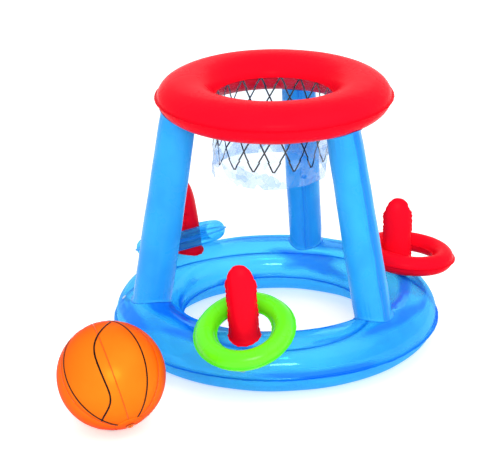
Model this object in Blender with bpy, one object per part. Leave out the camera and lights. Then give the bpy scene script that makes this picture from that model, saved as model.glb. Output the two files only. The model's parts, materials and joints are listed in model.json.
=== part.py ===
"""Inflatable floating basketball hoop, with a net skirt, three toss rings on pegs, and a ball.

Metres, +Z up; the floor is z = 0, and the ball lies at the front, which is -Y. Every chamber is vinyl
film, drawn as a closed wall: two films of a ring meet at flat welds, and a leg or a peg is a tube whose
cut end follows the ring that it is welded to.
"""

import math
from collections import namedtuple

import bmesh
import bpy
from mathutils import Matrix, Vector

Tube = namedtuple("Tube", "radius half_width half_height height")

# Film, welds and clearances
FILM = 0.001
GAP = 0.0003
OVERRUN = 0.004

# Base ring: axis radius and section of its tube, and how far its own weight flattens it on the floor
BASE_RADIUS = 0.239
BASE_HALF_WIDTH = 0.061
BASE_HALF_HEIGHT = 0.0515
BASE_FLAT = 0.0012
BASE_SEAM_DROP = 0.008
BASE_WELD = 0.005
BASE_SIDES = 48
BASE_STEPS = 6

# Hoop ring, and the height of its tube's axis over the floor
HOOP_RADIUS = 0.162
HOOP_HALF_WIDTH = 0.051
HOOP_HALF_HEIGHT = 0.036
HOOP_HEIGHT = 0.4705
HOOP_WELD = 0.004
HOOP_SIDES = 38
HOOP_STEPS = 6

# Net skirt, hung from the hoop's inner weld
NET_FILM = 0.0008
NET_DROP = 0.148
NET_STEPS = 2

# Legs: radius of the tubes; then each one's shares of that radius at its foot and at its head, and where
# its foot and its head stand, as a share of the ring's half width out from its axis and as an azimuth
LEG_TUBE = 0.0335
LEG_WELD = 0.003
LEG_SIDES = 16
Leg = namedtuple("Leg", "tube_shares foot_share foot_azimuth head_share head_azimuth")
LEGS = {
    "left": Leg((1.075, 0.99), 0.062, math.radians(192.5), 0.208, math.radians(192.8)),
    "right": Leg((1.03, 0.93), -0.03, math.radians(320.5), -0.02, math.radians(316)),
    "back": Leg((0.92, 0.95), 0.04, math.radians(74.9), 0.13, math.radians(74.5)),
}

# Pegs: two panels welded along their sides, so a peg keeps its width up to its dome, and thins across
# its seams from the end of the round stretch over the base ring's crest; height over that ring's axis.
# Then each one's place as for the legs, its share of the height, its lean along X as a share of the
# height, and the direction of its seams
PEG_TUBE = 0.0255
PEG_WELD = 0.004
PEG_SEAM = 0.003
PEG_SIDES = 16
PEG_HEIGHT = 0.186
PEG_ROUND = 0.0145
PEG_DOME = 0.040
PEG_TAPER_SHARES = (1.0, 0.65)
PEG_DOME_STEPS = 4
PEG_DOME_END = math.radians(78)
Peg = namedtuple("Peg", "outward_share azimuth height_share lean_share seam")
PEGS = {
    "front": Peg(0.10, math.radians(257.4), 0.988, -0.06, 0.0),
    "right": Peg(0.215, math.radians(22.6), 0.979, 0.0, 0.0),
    "left": Peg(0.105, math.radians(133.7), 1.014, 0.0, math.radians(80)),
}

# Air holes in the rings' films under the legs and pegs
AIR_HOLE = 0.006
AIR_HOLE_SIDES = 8

# Toss rings: section, and how each one lies on its peg, as its shift outwards and sideways in shares of
# its play round the peg, its tilt down the outer slope of the base ring, its roll along that ring, and
# how high over the base ring it is caught on the peg's weld
TOSS_RADIUS = 0.0701
TOSS_HALF_WIDTH = 0.0185
TOSS_HALF_HEIGHT = 0.0185
TOSS_WELD = 0.003
TOSS_SIDES = 22
TOSS_STEPS = 5
SEAT_SAMPLES = 12
TOSS_CAUGHT = 0.005
TossPlace = namedtuple("TossPlace", "peg material outward_share sideways_share tilt roll caught_share")
TOSS_RINGS = {
    "green_ring": TossPlace("front", "green_tube", 0.95, 0.05, math.radians(24), math.radians(3), 0.0),
    "red_ring": TossPlace("right", "red_tube", 1.04, -0.19, math.radians(6.4), math.radians(0.9), 0.6),
    "blue_ring": TossPlace("left", "blue_film", 1.095, 0.05, math.radians(21.3), math.radians(1.3), 1.0),
}

# Ball: radius, place on the floor, direction of the pole with the valve, and turn about that pole
BALL_RADIUS = 0.0936
BALL_X = -0.283
BALL_Y = -0.384
BALL_POLE = Vector((0.357, -0.605, -0.712))
BALL_TURN = math.radians(50)
GORES = 6
GORE_SIDES = 3
GORE_STEPS = 8
GORE_END = math.radians(11)
CAP_EDGE = math.radians(16)
CAP_SIDES = 18
CAP_STEPS = 2

# Valves: welded flange, stem inside the chamber, bore, stopper and check flap
VALVE_FLANGE = 0.008
VALVE_FLANGE_THICK = 0.0012
VALVE_STEM = 0.0036
VALVE_BORE = 0.0022
VALVE_STEM_LENGTH = 0.010
STOPPER_HEAD = 0.0046
STOPPER_HEAD_THICK = 0.0014
STOPPER_PLUG_LENGTH = 0.006
FLAP_THICK = 0.0008
VALVE_SIDES = 10
BASE_VALVE_AZIMUTH = math.radians(183)

SQUARE = math.pi / 2
HALF_TURN = math.pi
FULL_TURN = 2 * math.pi
SHARP = math.radians(50)

BASE = Tube(BASE_RADIUS, BASE_HALF_WIDTH, BASE_HALF_HEIGHT, BASE_HALF_HEIGHT - BASE_FLAT)
HOOP = Tube(HOOP_RADIUS, HOOP_HALF_WIDTH, HOOP_HALF_HEIGHT, HOOP_HEIGHT)
TOSS = Tube(TOSS_RADIUS, TOSS_HALF_WIDTH, TOSS_HALF_HEIGHT, 0.0)
BASE_SEAM = BASE.height - BASE_SEAM_DROP
NET_SEAT = NET_FILM + 2 * GAP


def polar(radius, azimuth, height=0.0):
    """Point at a radius and an azimuth round the base ring's axis."""
    return Vector((radius * math.cos(azimuth), radius * math.sin(azimuth), height))


def on_ring(tube, share, azimuth, height=0.0):
    """Point at a share of a ring's half width out from the axis of its tube."""
    return polar(tube.radius + share * tube.half_width, azimuth, height)


def spread(first, last, steps):
    """Evenly spaced values from first to last."""
    return [first + (last - first) * i / steps for i in range(steps + 1)]


# Middle of the whole set seen from above, so that the model's origin lies under its centre
TOSS_PLAY = TOSS_RADIUS - TOSS_HALF_WIDTH - TOSS_WELD - PEG_TUBE - max(PEG_SEAM, PEG_WELD) - 2 * GAP
TOSS_REACH = TOSS_RADIUS + TOSS_HALF_WIDTH + TOSS_WELD
RIGHT_SHIFT = (polar(TOSS_RINGS["red_ring"].outward_share * TOSS_PLAY, PEGS["right"].azimuth)
               + polar(TOSS_RINGS["red_ring"].sideways_share * TOSS_PLAY, PEGS["right"].azimuth + math.pi / 2))
SET_LEFT = BALL_X - BALL_RADIUS
SET_RIGHT = on_ring(BASE, PEGS["right"].outward_share, PEGS["right"].azimuth).x + RIGHT_SHIFT.x + TOSS_REACH
SET_FRONT = BALL_Y - BALL_RADIUS
SET_BACK = BASE_RADIUS + BASE_HALF_WIDTH + BASE_WELD
CENTRE = Vector((-(SET_LEFT + SET_RIGHT) / 2, -(SET_FRONT + SET_BACK) / 2, 0))


# Materials

def vinyl(name, colour, roughness, alpha=1.0):
    """Vinyl film, opaque or see-through."""
    material = bpy.data.materials.new(name)
    material.use_nodes = True
    shader = material.node_tree.nodes["Principled BSDF"]
    shader.inputs["Base Color"].default_value = (*colour, 1)
    shader.inputs["Roughness"].default_value = roughness
    shader.inputs["Metallic"].default_value = 0
    shader.inputs["Alpha"].default_value = alpha
    return material


def make_materials():
    return {
        "blue_film": vinyl("see-through blue vinyl", (0.03, 0.42, 0.95), 0.18, 0.7),
        "blue_tube": vinyl("opaque blue vinyl", (0.015, 0.33, 0.96), 0.3),
        "red_tube": vinyl("red vinyl", (0.95, 0.02, 0.03), 0.28),
        "green_tube": vinyl("green vinyl", (0.12, 0.95, 0.02), 0.25),
        "clear_film": vinyl("clear vinyl", (0.85, 0.88, 0.9), 0.1, 0.35),
        "orange_film": vinyl("see-through orange vinyl", (1.0, 0.25, 0.03), 0.15, 0.85),
    }


# Shared construction

def finish(name, mesh_data, material, parent, location=(0, 0, 0)):
    """Turn the faces outwards, smooth the round ones, and give the mesh its object."""
    bmesh.ops.remove_doubles(mesh_data, verts=mesh_data.verts, dist=GAP / 10)
    bmesh.ops.recalc_face_normals(mesh_data, faces=mesh_data.faces)
    if mesh_data.calc_volume(signed=True) < 0:
        bmesh.ops.reverse_faces(mesh_data, faces=mesh_data.faces)
    mesh = bpy.data.meshes.new(name)
    mesh_data.to_mesh(mesh)
    mesh_data.free()
    mesh.shade_smooth()
    mesh.set_sharp_from_angle(angle=SHARP)
    return place(name, mesh, material, parent, location)


def place(name, mesh, material, parent, location=(0, 0, 0)):
    """Object of a mesh, under its parent; without a material it is a hidden cutter."""
    piece = bpy.data.objects.new(name, mesh)
    bpy.context.scene.collection.objects.link(piece)
    piece.parent = parent
    piece.location = location
    if material is None:
        piece.hide_render = True
        piece.display_type = "WIRE"
    elif not mesh.materials:
        mesh.materials.append(material)
    return piece


def empty(name, parent, matrix):
    """Empty that carries a group of pieces."""
    holder = bpy.data.objects.new(name, None)
    bpy.context.scene.collection.objects.link(holder)
    holder.parent = parent
    holder.matrix_basis = matrix
    return holder


def boolean(piece, cutter, operation="DIFFERENCE"):
    modifier = piece.modifiers.new(cutter.name, "BOOLEAN")
    modifier.operation = operation
    modifier.solver = "EXACT"
    modifier.object = cutter


def turned(name, outline, sides, material, parent, location=(0, 0, 0)):
    """Solid of revolution about Z from an outline of (radius, height) points, closed by itself or on Z."""
    solid = bmesh.new()
    points = [solid.verts.new((radius, 0, height)) for radius, height in outline]
    edges = [solid.edges.new((a, b)) for a, b in zip(points, points[1:])]
    if outline[0][0] > 0 or outline[-1][0] > 0:
        edges.append(solid.edges.new((points[-1], points[0])))
    bmesh.ops.spin(solid, geom=points + edges, axis=(0, 0, 1), cent=(0, 0, 0), angle=FULL_TURN,
                   steps=sides, use_merge=True)
    return finish(name, solid, material, parent, location)


def lofted(name, rings, material, parent, capped=False, location=(0, 0, 0)):
    """Closed skin over rings of points: round into itself, or capped at its first and last ring."""
    skin = bmesh.new()
    loops = [[skin.verts.new(point) for point in ring] for ring in rings]
    pairs = list(zip(loops, loops[1:]))
    if capped:
        skin.faces.new(loops[0])
        skin.faces.new(loops[-1])
    else:
        pairs.append((loops[-1], loops[0]))
    for low, high in pairs:
        for i, corner in enumerate(low):
            skin.faces.new((low[i - 1], corner, high[i], high[i - 1]))
    return finish(name, skin, material, parent, location)


def cylinders(name, radius, sides, ends, material, parent, location=(0, 0, 0)):
    """One cylinder for each (bottom point, top point)."""
    solid = bmesh.new()
    for bottom, top in ends:
        span = top - bottom
        middle = Matrix.Translation((bottom + top) / 2) @ span.to_track_quat("Z", "Y").to_matrix().to_4x4()
        bmesh.ops.create_cone(solid, cap_ends=True, segments=sides, radius1=radius, radius2=radius,
                              depth=span.length, matrix=middle)
    return finish(name, solid, material, parent, location)


def half_turned(name, outline, sides, side, material, parent):
    """Half of a solid of revolution, on the side of X with that sign, its cut faces drawn in for the gap."""
    solid = bmesh.new()
    first = [solid.verts.new((0, -side * radius, height)) for radius, height in outline]
    start = solid.faces.new(first)
    geom = [start] + list(start.edges) + first
    last = bmesh.ops.spin(solid, geom=geom, axis=(0, 0, 1), cent=(0, 0, 0), angle=HALF_TURN, steps=sides // 2)
    last = [item for item in last["geom_last"] if isinstance(item, bmesh.types.BMVert)]
    bmesh.ops.translate(solid, verts=first + last, vec=(side * GAP / 2, 0, 0))
    return finish(name, solid, material, parent)


# Ring chambers, each made of two films

def wall_angles(tube, seam, side, gaps, steps, inset=0.0, floor=None):
    """Section angles of one film's wall, from its outer weld round to its inner weld."""
    reach = tube.half_height - inset
    rims = [seam + side * (gap / 2 + FILM - inset) for gap in gaps]
    first = math.asin((rims[0] - tube.height) / reach)
    last = side * HALF_TURN - math.asin((rims[1] - tube.height) / reach)
    if floor is None:
        return spread(first, last, steps)
    corner = math.asin((floor + inset - tube.height) / reach)
    half = steps // 2
    return spread(first, corner, half) + spread(-HALF_TURN - corner, last, half)


def section(tube, angles, growth=0.0):
    """Points of a ring's section at some angles, on its wall or grown from it."""
    return [(tube.radius + (tube.half_width + growth) * math.cos(angle),
             tube.height + (tube.half_height + growth) * math.sin(angle)) for angle in angles]


def film_contour(tube, seam, side, gaps, steps, weld, floor=None):
    """Outer face of one film, with its flat welds, from the outer rim to the inner rim."""
    wall = section(tube, wall_angles(tube, seam, side, gaps, steps, 0.0, floor))
    return [(wall[0][0] + weld, wall[0][1])] + wall + [(wall[-1][0] - weld, wall[-1][1])]


def film_outline(tube, seam, side, gaps, steps, weld, floor=None):
    """Closed outline of one film: its outer face, and its inner face a film's thickness away."""
    outer = film_contour(tube, seam, side, gaps, steps, weld, floor)
    inner = section(tube, wall_angles(tube, seam, side, gaps, steps, FILM, floor), -FILM)
    inner = [(outer[0][0], inner[0][1])] + inner + [(outer[-1][0], inner[-1][1])]
    return outer + inner[::-1]


def ring_cutter(name, tube, seam, gaps, steps, sides, growth, parent, floor=None):
    """Hidden solid of a whole ring, grown by a clearance, that trims what stands on it."""
    upper = wall_angles(tube, seam, 1, gaps, steps)
    lower = wall_angles(tube, seam, -1, gaps, steps, 0.0, floor)
    outline = section(tube, upper, growth) + section(tube, lower[::-1], growth)
    return turned(name, outline, sides, None, parent)


def film_top(contour, sides, x, y):
    """Height of a ring's faceted upper face over a point, or None beside the ring."""
    facet = FULL_TURN / sides
    across = math.atan2(y, x) % facet - facet / 2
    radius = math.hypot(x, y) * math.cos(across) / math.cos(facet / 2)
    heights = []
    for (r0, z0), (r1, z1) in zip(contour, contour[1:]):
        if min(r0, r1) <= radius <= max(r0, r1) and r0 != r1:
            heights.append(z0 + (z1 - z0) * (radius - r0) / (r1 - r0))
    return max(heights, default=None)


# Tubes that stand between the rings

def round_points(centre, radius, sides):
    """Points round a tube."""
    return [centre + polar(radius, FULL_TURN * i / sides) for i in range(sides)]


def tube(name, foot, head, radii, inset, outset, sides, material, parent):
    """Leaning tube, open at both ends, its wall set in and out from its foot radius and head radius."""
    at_foot, at_head = radii
    walls = [(foot, at_foot + outset), (head, at_head + outset), (head, at_head - inset), (foot, at_foot - inset)]
    return lofted(name, [round_points(centre, radius, sides) for centre, radius in walls], material, parent)


def weld_to_ring(piece, foot, head, radii, weld, sides, cutters, parent):
    """Turn a tube's cut end out into a flat weld on a ring; cutters are that ring's two grown solids."""
    seat, cover = cutters
    collar = tube(piece.name + cover.name, foot, head, radii, FILM / 2, weld, sides, None, parent)
    boolean(collar, cover, "INTERSECT")
    boolean(piece, collar, "UNION")
    boolean(piece, seat)


# The frame: base ring, hoop, net, legs and pegs

def base_contour():
    """Outer face of the base ring's upper film."""
    return film_contour(BASE, BASE_SEAM, 1, (GAP, GAP), BASE_STEPS, BASE_WELD)


def base_ring(parent, materials):
    upper = film_outline(BASE, BASE_SEAM, 1, (GAP, GAP), BASE_STEPS, BASE_WELD)
    lower = film_outline(BASE, BASE_SEAM, -1, (GAP, GAP), BASE_STEPS, BASE_WELD, 0.0)
    tops = {}
    for name, side in (("left", -1), ("right", 1)):
        tops[name] = half_turned("base_film_upper_" + name, upper, BASE_SIDES, side, materials["blue_film"], parent)
        half_turned("base_film_lower_" + name, lower, BASE_SIDES, side, materials["blue_film"], parent)
    feet = [(leg.foot_share, leg.foot_azimuth) for leg in LEGS.values()]
    feet += [(peg.outward_share, peg.azimuth) for peg in PEGS.values()]
    over = BASE.height + BASE_HALF_HEIGHT + OVERRUN
    span = [(on_ring(BASE, share, azimuth, BASE.height), on_ring(BASE, share, azimuth, over))
            for share, azimuth in feet]
    holes = cylinders("air_holes_base", AIR_HOLE, AIR_HOLE_SIDES, span, None, parent)
    for top in tops.values():
        boolean(top, holes)
    seat = facet_seat(base_contour(), 1, 1, BASE_SIDES, BASE_VALVE_AZIMUTH)
    valve("base", tops["left"], seat, parent, materials)


def hoop_ring(parent, materials):
    gaps = (GAP, NET_SEAT)
    upper = film_outline(HOOP, HOOP_HEIGHT, 1, gaps, HOOP_STEPS, HOOP_WELD)
    lower = film_outline(HOOP, HOOP_HEIGHT, -1, gaps, HOOP_STEPS, HOOP_WELD)
    turned("hoop_film_upper", upper, HOOP_SIDES, materials["red_tube"], parent)
    under = turned("hoop_film_lower", lower, HOOP_SIDES, materials["red_tube"], parent)
    bottom = HOOP_HEIGHT - HOOP_HALF_HEIGHT - OVERRUN
    span = [(on_ring(HOOP, leg.head_share, leg.head_azimuth, bottom),
             on_ring(HOOP, leg.head_share, leg.head_azimuth, HOOP_HEIGHT)) for leg in LEGS.values()]
    boolean(under, cylinders("air_holes_hoop", AIR_HOLE, AIR_HOLE_SIDES, span, None, parent))


def net_skirt(parent, materials):
    """Film cylinder whose turned-out lip lies between the hoop's two inner welds."""
    contour = film_contour(HOOP, HOOP_HEIGHT, 1, (GAP, NET_SEAT), HOOP_STEPS, HOOP_WELD)
    lip = contour[-2][0]
    wall = contour[-1][0] - GAP
    half = NET_FILM / 2
    outer = [(wall, height) for height in spread(HOOP_HEIGHT - half, HOOP_HEIGHT - NET_DROP, NET_STEPS)]
    inner = [(radius - NET_FILM, height) for radius, height in outer[:0:-1]]
    outline = [(wall - NET_FILM, HOOP_HEIGHT + half), (lip, HOOP_HEIGHT + half), (lip, HOOP_HEIGHT - half)]
    turned("net_skirt", outline + outer + inner, HOOP_SIDES, materials["clear_film"], parent)


def legs(base_cutters, hoop_cutters, parent, materials):
    for name, leg in LEGS.items():
        foot = on_ring(BASE, leg.foot_share, leg.foot_azimuth, BASE.height)
        head = on_ring(HOOP, leg.head_share, leg.head_azimuth, HOOP_HEIGHT)
        radii = [LEG_TUBE * share for share in leg.tube_shares]
        piece = tube("leg_" + name, foot, head, radii, FILM, 0.0, LEG_SIDES, materials["blue_tube"], parent)
        for cutters in (base_cutters, hoop_cutters):
            weld_to_ring(piece, foot, head, radii, LEG_WELD, LEG_SIDES, cutters, parent)


def peg_ring(centre, radius, seam, fin, width_share, depth_share):
    """Points round a peg at one height, with a narrow ridge for each of its two welded seams."""
    ridge = FILM / radius
    angles = [(FULL_TURN * i / PEG_SIDES, 0.0) for i in range(PEG_SIDES)]
    angles = [(a, out) for a, out in angles if abs(math.sin(a)) > math.sin(2 * ridge)]
    for middle in (0.0, HALF_TURN):
        angles += [(middle + side * ridge, 0.0) for side in (-1, 1)]
        angles += [(middle + side * ridge / 2, fin) for side in (-1, 1)]
    turn = Matrix.Rotation(seam, 3, "Z")
    around = sorted((angle % FULL_TURN, out) for angle, out in angles)
    return [centre + turn @ Vector(((radius * width_share + out) * math.cos(angle),
                                    radius * depth_share * math.sin(angle), 0)) for angle, out in around]


def peg_skin(foot, tip, radius, dome, seam, fin):
    """Rings of points up one face of a peg, from its foot to the tip of its dome."""
    taper = tip.z - BASE.height - BASE_HALF_HEIGHT - PEG_ROUND
    levels = [(foot.z, 1.0)] + [(tip.z - taper * share, 1.0) for share in PEG_TAPER_SHARES]
    levels += [(tip.z - dome * (1 - math.sin(angle)), math.cos(angle))
               for angle in spread(0, PEG_DOME_END, PEG_DOME_STEPS)]
    rings = []
    for height, width_share in levels:
        centre = foot.lerp(tip, (height - foot.z) / (tip.z - foot.z))
        depth_share = min(1.0, math.sqrt((tip.z - height) / taper))
        rings.append(peg_ring(centre, radius, seam, fin, width_share, depth_share))
    return rings


def pegs(base_cutters, parent, materials):
    for name, peg in PEGS.items():
        height = PEG_HEIGHT * peg.height_share
        foot = on_ring(BASE, peg.outward_share, peg.azimuth, BASE.height)
        tip = foot + Vector((PEG_HEIGHT * peg.lean_share, 0, height))
        outer = peg_skin(foot, tip, PEG_TUBE, PEG_DOME, peg.seam, PEG_SEAM)
        inner_tip = tip - Vector((0, 0, FILM))
        inner = peg_skin(foot, inner_tip, PEG_TUBE - FILM, PEG_DOME - FILM, peg.seam, 0.0)
        piece = lofted("peg_" + name, outer[::-1] + inner, materials["red_tube"], parent, capped=True)
        weld_to_ring(piece, foot, tip, (PEG_TUBE, PEG_TUBE), PEG_WELD, PEG_SIDES, base_cutters, parent)


# Valves

def facet_seat(contour, first, side, sides, azimuth):
    """Place and outward direction of the facet of a ring's wall that a valve sits on."""
    facet = FULL_TURN / sides
    middle = (math.floor(azimuth / facet) + 0.5) * facet
    (r0, z0), (r1, z1) = contour[first + 1], contour[first + 2]
    inset = math.cos(facet / 2)
    centre = polar((r0 + r1) / 2 * inset, middle, (z0 + z1) / 2)
    normal = polar((z1 - z0) * side, middle, (r0 - r1) * side)
    return Matrix.Translation(centre) @ normal.to_track_quat("Z", "Y").to_matrix().to_4x4()


def valve(prefix, film, seat, parent, materials):
    """Valve through a film: body, stopper that pulls straight out, and check flap hung inside."""
    holder = empty(prefix + "_valve_seat", parent, seat)
    clear = materials["clear_film"]
    if film is not None:
        ends = [(Vector((0, 0, -OVERRUN)), Vector((0, 0, OVERRUN)))]
        bore = VALVE_STEM + 2 * GAP
        boolean(film, cylinders(prefix + "_valve_hole", bore, VALVE_SIDES, ends, None, holder))
    face = GAP + VALVE_FLANGE_THICK
    body = [(VALVE_BORE, face), (VALVE_FLANGE, face), (VALVE_FLANGE, GAP), (VALVE_STEM, GAP),
            (VALVE_STEM, -VALVE_STEM_LENGTH), (VALVE_BORE, -VALVE_STEM_LENGTH)]
    turned(prefix + "_valve_body", body, VALVE_SIDES, clear, holder)
    shoulder = face + GAP
    plug = VALVE_BORE - GAP
    stopper = [(0, shoulder + STOPPER_HEAD_THICK), (STOPPER_HEAD, shoulder + STOPPER_HEAD_THICK),
               (STOPPER_HEAD, shoulder), (plug, shoulder), (plug, face - STOPPER_PLUG_LENGTH),
               (0, face - STOPPER_PLUG_LENGTH)]
    turned(prefix + "_valve_stopper", stopper, VALVE_SIDES, clear, holder)
    hinge = (VALVE_STEM, 0, -VALVE_STEM_LENGTH - GAP)
    disc = [(Vector((-VALVE_STEM, 0, -FLAP_THICK)), Vector((-VALVE_STEM, 0, 0)))]
    cylinders(prefix + "_valve_flap", VALVE_STEM, VALVE_SIDES, disc, clear, holder, hinge)


# Toss rings

def seat_height(turn, centre, under, ground):
    """Height over the floor at which a turned toss ring comes to rest on the base ring's upper face."""
    facet = FULL_TURN / TOSS_SIDES
    shares = spread(0, 1, SEAT_SAMPLES)
    height = 0.0
    for (r0, z0), (r1, z1) in zip(under, under[1:]):
        for azimuth in spread(0, FULL_TURN, SEAT_SAMPLES * TOSS_SIDES):
            inset = math.cos(facet / 2) / math.cos(azimuth % facet - facet / 2)
            for share in shares:
                point = turn @ polar((r0 + (r1 - r0) * share) * inset, azimuth, z0 + (z1 - z0) * share)
                surface = film_top(ground, BASE_SIDES, centre.x + point.x, centre.y + point.y)
                if surface is not None:
                    height = max(height, surface + GAP - point.z)
    return height


def toss_rings(parent, materials):
    gaps = (GAP, GAP)
    ground = base_contour()
    under = film_contour(TOSS, 0, -1, gaps, TOSS_STEPS, TOSS_WELD)
    for name, lie in TOSS_RINGS.items():
        peg = PEGS[lie.peg]
        outward = polar(1, peg.azimuth)
        along = polar(1, peg.azimuth + SQUARE)
        centre = on_ring(BASE, peg.outward_share, peg.azimuth)
        centre += (outward * lie.outward_share + along * lie.sideways_share) * TOSS_PLAY
        turn = (Matrix.Rotation(lie.tilt, 3, along) @ Matrix.Rotation(lie.roll, 3, outward)
                @ Matrix.Rotation(peg.azimuth, 3, "Z"))
        centre.z = seat_height(turn, centre, under, ground) + TOSS_CAUGHT * lie.caught_share
        holder = empty(name + "_centre", parent, Matrix.Translation(centre) @ turn.to_4x4())
        material = materials[lie.material]
        upper_film = film_outline(TOSS, 0, 1, gaps, TOSS_STEPS, TOSS_WELD)
        lower_film = film_outline(TOSS, 0, -1, gaps, TOSS_STEPS, TOSS_WELD)
        turned(name + "_film_upper", upper_film, TOSS_SIDES, material, holder)
        lower = turned(name + "_film_lower", lower_film, TOSS_SIDES, material, holder)
        valve(name, lower, facet_seat(under, 1, -1, TOSS_SIDES, 0), holder, materials)


# Ball

def gore_mesh():
    """One lune of the ball's film between its two polar openings, its cut sides drawn in for the gap."""
    film = bmesh.new()
    angles = spread(GORE_END, HALF_TURN - GORE_END, GORE_STEPS)
    arc = [(BALL_RADIUS, a) for a in angles] + [(BALL_RADIUS - FILM, a) for a in angles[::-1]]
    slice_ = film.faces.new([film.verts.new((r * math.sin(a), 0, r * math.cos(a))) for r, a in arc])
    wedge = FULL_TURN / GORES
    first = list(film.verts)
    geom = [slice_] + list(slice_.edges) + first
    last = bmesh.ops.spin(film, geom=geom, axis=(0, 0, 1), cent=(0, 0, 0), angle=wedge, steps=GORE_SIDES)
    last = [item for item in last["geom_last"] if isinstance(item, bmesh.types.BMVert)]
    bmesh.ops.translate(film, verts=first, vec=(0, GAP / 2, 0))
    bmesh.ops.translate(film, verts=last, vec=polar(GAP / 2, wedge - SQUARE))
    return film


def ball(parent, materials):
    turn = BALL_POLE.to_track_quat("Z", "Y").to_matrix().to_4x4() @ Matrix.Rotation(BALL_TURN, 4, "Z")
    holder = empty("ball_centre", parent, Matrix.Translation((BALL_X, BALL_Y, BALL_RADIUS)) @ turn)
    orange = materials["orange_film"]
    gore = finish("ball_gore_1", gore_mesh(), orange, holder)
    for number in range(1, GORES):
        copy = place("ball_gore_%d" % (number + 1), gore.data, orange, holder)
        copy.rotation_euler.z = FULL_TURN * number / GORES
    inner = BALL_RADIUS + GAP
    outer = inner + FILM
    hole = math.asin((VALVE_STEM + 2 * GAP) / inner)
    for name, side, start in (("ball_cap_valve", 1, hole), ("ball_cap_plain", -1, 0.0)):
        angles = spread(start, CAP_EDGE, CAP_STEPS)
        arc = [(outer, a) for a in angles] + [(inner, a) for a in angles[::-1]]
        outline = [(r * math.sin(a), side * r * math.cos(a)) for r, a in arc]
        turned(name, outline, CAP_SIDES, orange, holder)
    valve("ball", None, Matrix.Translation((0, 0, outer)), holder, materials)


def main():
    for leftover in list(bpy.data.objects):
        bpy.data.objects.remove(leftover)
    materials = make_materials()
    frame = empty("frame_axis", None, Matrix.Translation(CENTRE))
    fits = (GAP, GAP + FILM)
    base_cutters = [ring_cutter("_on_base_%d" % number, BASE, BASE_SEAM, (GAP, GAP), BASE_STEPS, BASE_SIDES,
                                growth, frame, 0.0) for number, growth in enumerate(fits)]
    hoop_cutters = [ring_cutter("_on_hoop_%d" % number, HOOP, HOOP_HEIGHT, (GAP, NET_SEAT), HOOP_STEPS,
                                HOOP_SIDES, growth, frame) for number, growth in enumerate(fits)]
    base_ring(frame, materials)
    hoop_ring(frame, materials)
    net_skirt(frame, materials)
    legs(base_cutters, hoop_cutters, frame, materials)
    pegs(base_cutters, frame, materials)
    toss_rings(frame, materials)
    ball(frame, materials)


if __name__ == "__main__":
    main()
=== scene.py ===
# %% [markdown]
# # A floating basketball hoop
#
# The real object is a pool toy made of vinyl film. A see-through blue ring floats on the water, three
# blue tubes lean in from it and carry a red hoop with a clear net skirt, and three red pegs hold toss
# rings. A small ball lies beside it. Everything is thin film, cut flat, welded at its edges and blown up.
#
# That history decides how each piece is modelled here: a smooth swollen wall, a flat weld where two films
# meet, and small folds that start at the weld, because a flat film can't curve two ways without them.

# %% Load the frame
import json
import math
from collections import namedtuple

import bmesh
import bpy
from mathutils import Matrix, Vector, noise


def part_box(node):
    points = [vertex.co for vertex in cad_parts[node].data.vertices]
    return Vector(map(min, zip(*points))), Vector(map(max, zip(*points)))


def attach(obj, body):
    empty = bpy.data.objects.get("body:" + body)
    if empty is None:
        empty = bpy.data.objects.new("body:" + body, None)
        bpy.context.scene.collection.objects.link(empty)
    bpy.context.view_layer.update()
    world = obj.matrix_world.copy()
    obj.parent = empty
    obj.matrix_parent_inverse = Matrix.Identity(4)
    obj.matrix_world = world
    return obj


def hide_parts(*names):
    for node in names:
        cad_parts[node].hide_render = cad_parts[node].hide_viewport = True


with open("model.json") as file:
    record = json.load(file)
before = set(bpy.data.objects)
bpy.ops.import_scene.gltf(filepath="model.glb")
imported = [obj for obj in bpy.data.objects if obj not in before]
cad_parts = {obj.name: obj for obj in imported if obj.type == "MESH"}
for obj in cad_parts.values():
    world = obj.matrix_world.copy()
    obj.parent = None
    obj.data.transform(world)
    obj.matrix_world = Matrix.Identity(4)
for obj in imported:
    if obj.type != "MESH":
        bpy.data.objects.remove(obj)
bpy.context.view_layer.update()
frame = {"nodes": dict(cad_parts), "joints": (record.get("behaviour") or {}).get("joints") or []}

scene = bpy.context.scene
FULL_TURN = 2 * math.pi
UP = Vector((0, 0, 1))


def polar(radius, azimuth, height=0.0):
    """Point at a radius and an azimuth round Z."""
    return Vector((radius * math.cos(azimuth), radius * math.sin(azimuth), height))


def evenly(first, last, steps):
    """Numbers from a first to a last one in so many equal steps."""
    return [first + (last - first) * i / steps for i in range(steps + 1)]


def box_of(*nodes):
    """Lowest and highest corner of several CAD nodes together."""
    boxes = [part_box(node) for node in nodes]
    low = Vector(min(box[0][i] for box in boxes) for i in range(3))
    high = Vector(max(box[1][i] for box in boxes) for i in range(3))
    return low, high


# %% [markdown]
# ## Measures of the rings
#
# Each ring is an inflated tube bent round in a circle: an ellipse turned about an axis. The frame's boxes
# give the outer radius and the heights, so only the tube's half width and the weld's width are written
# here. The base ring and the hoop share one upright axis. A toss ring lies tilted, so its own section is
# written out, and its box only gives its middle.

# %% Rings
Ring = namedtuple("Ring", "radius half_width half_height height seam lip")

BASE_NODES = ["base_film_%s_%s" % (level, side) for level in ("upper", "lower")
              for side in ("left", "right")]
base_low, base_high = box_of(*BASE_NODES)
hoop_low, hoop_high = box_of("hoop_film_upper", "hoop_film_lower")
AXIS = Matrix.Translation(((base_low.x + base_high.x) / 2, (base_low.y + base_high.y) / 2, 0))

BASE_HALF_WIDTH = 0.061
BASE_HALF_HEIGHT = 0.0515
BASE_LIP = 0.005
BASE_SEAM_DROP = 0.008
base_radius = (base_high.x - base_low.x) / 2 - BASE_HALF_WIDTH - BASE_LIP
base_height = base_high.z - BASE_HALF_HEIGHT
base_seam = base_height - BASE_SEAM_DROP
BASE = Ring(base_radius, BASE_HALF_WIDTH, BASE_HALF_HEIGHT, base_height, base_seam, BASE_LIP)

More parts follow.
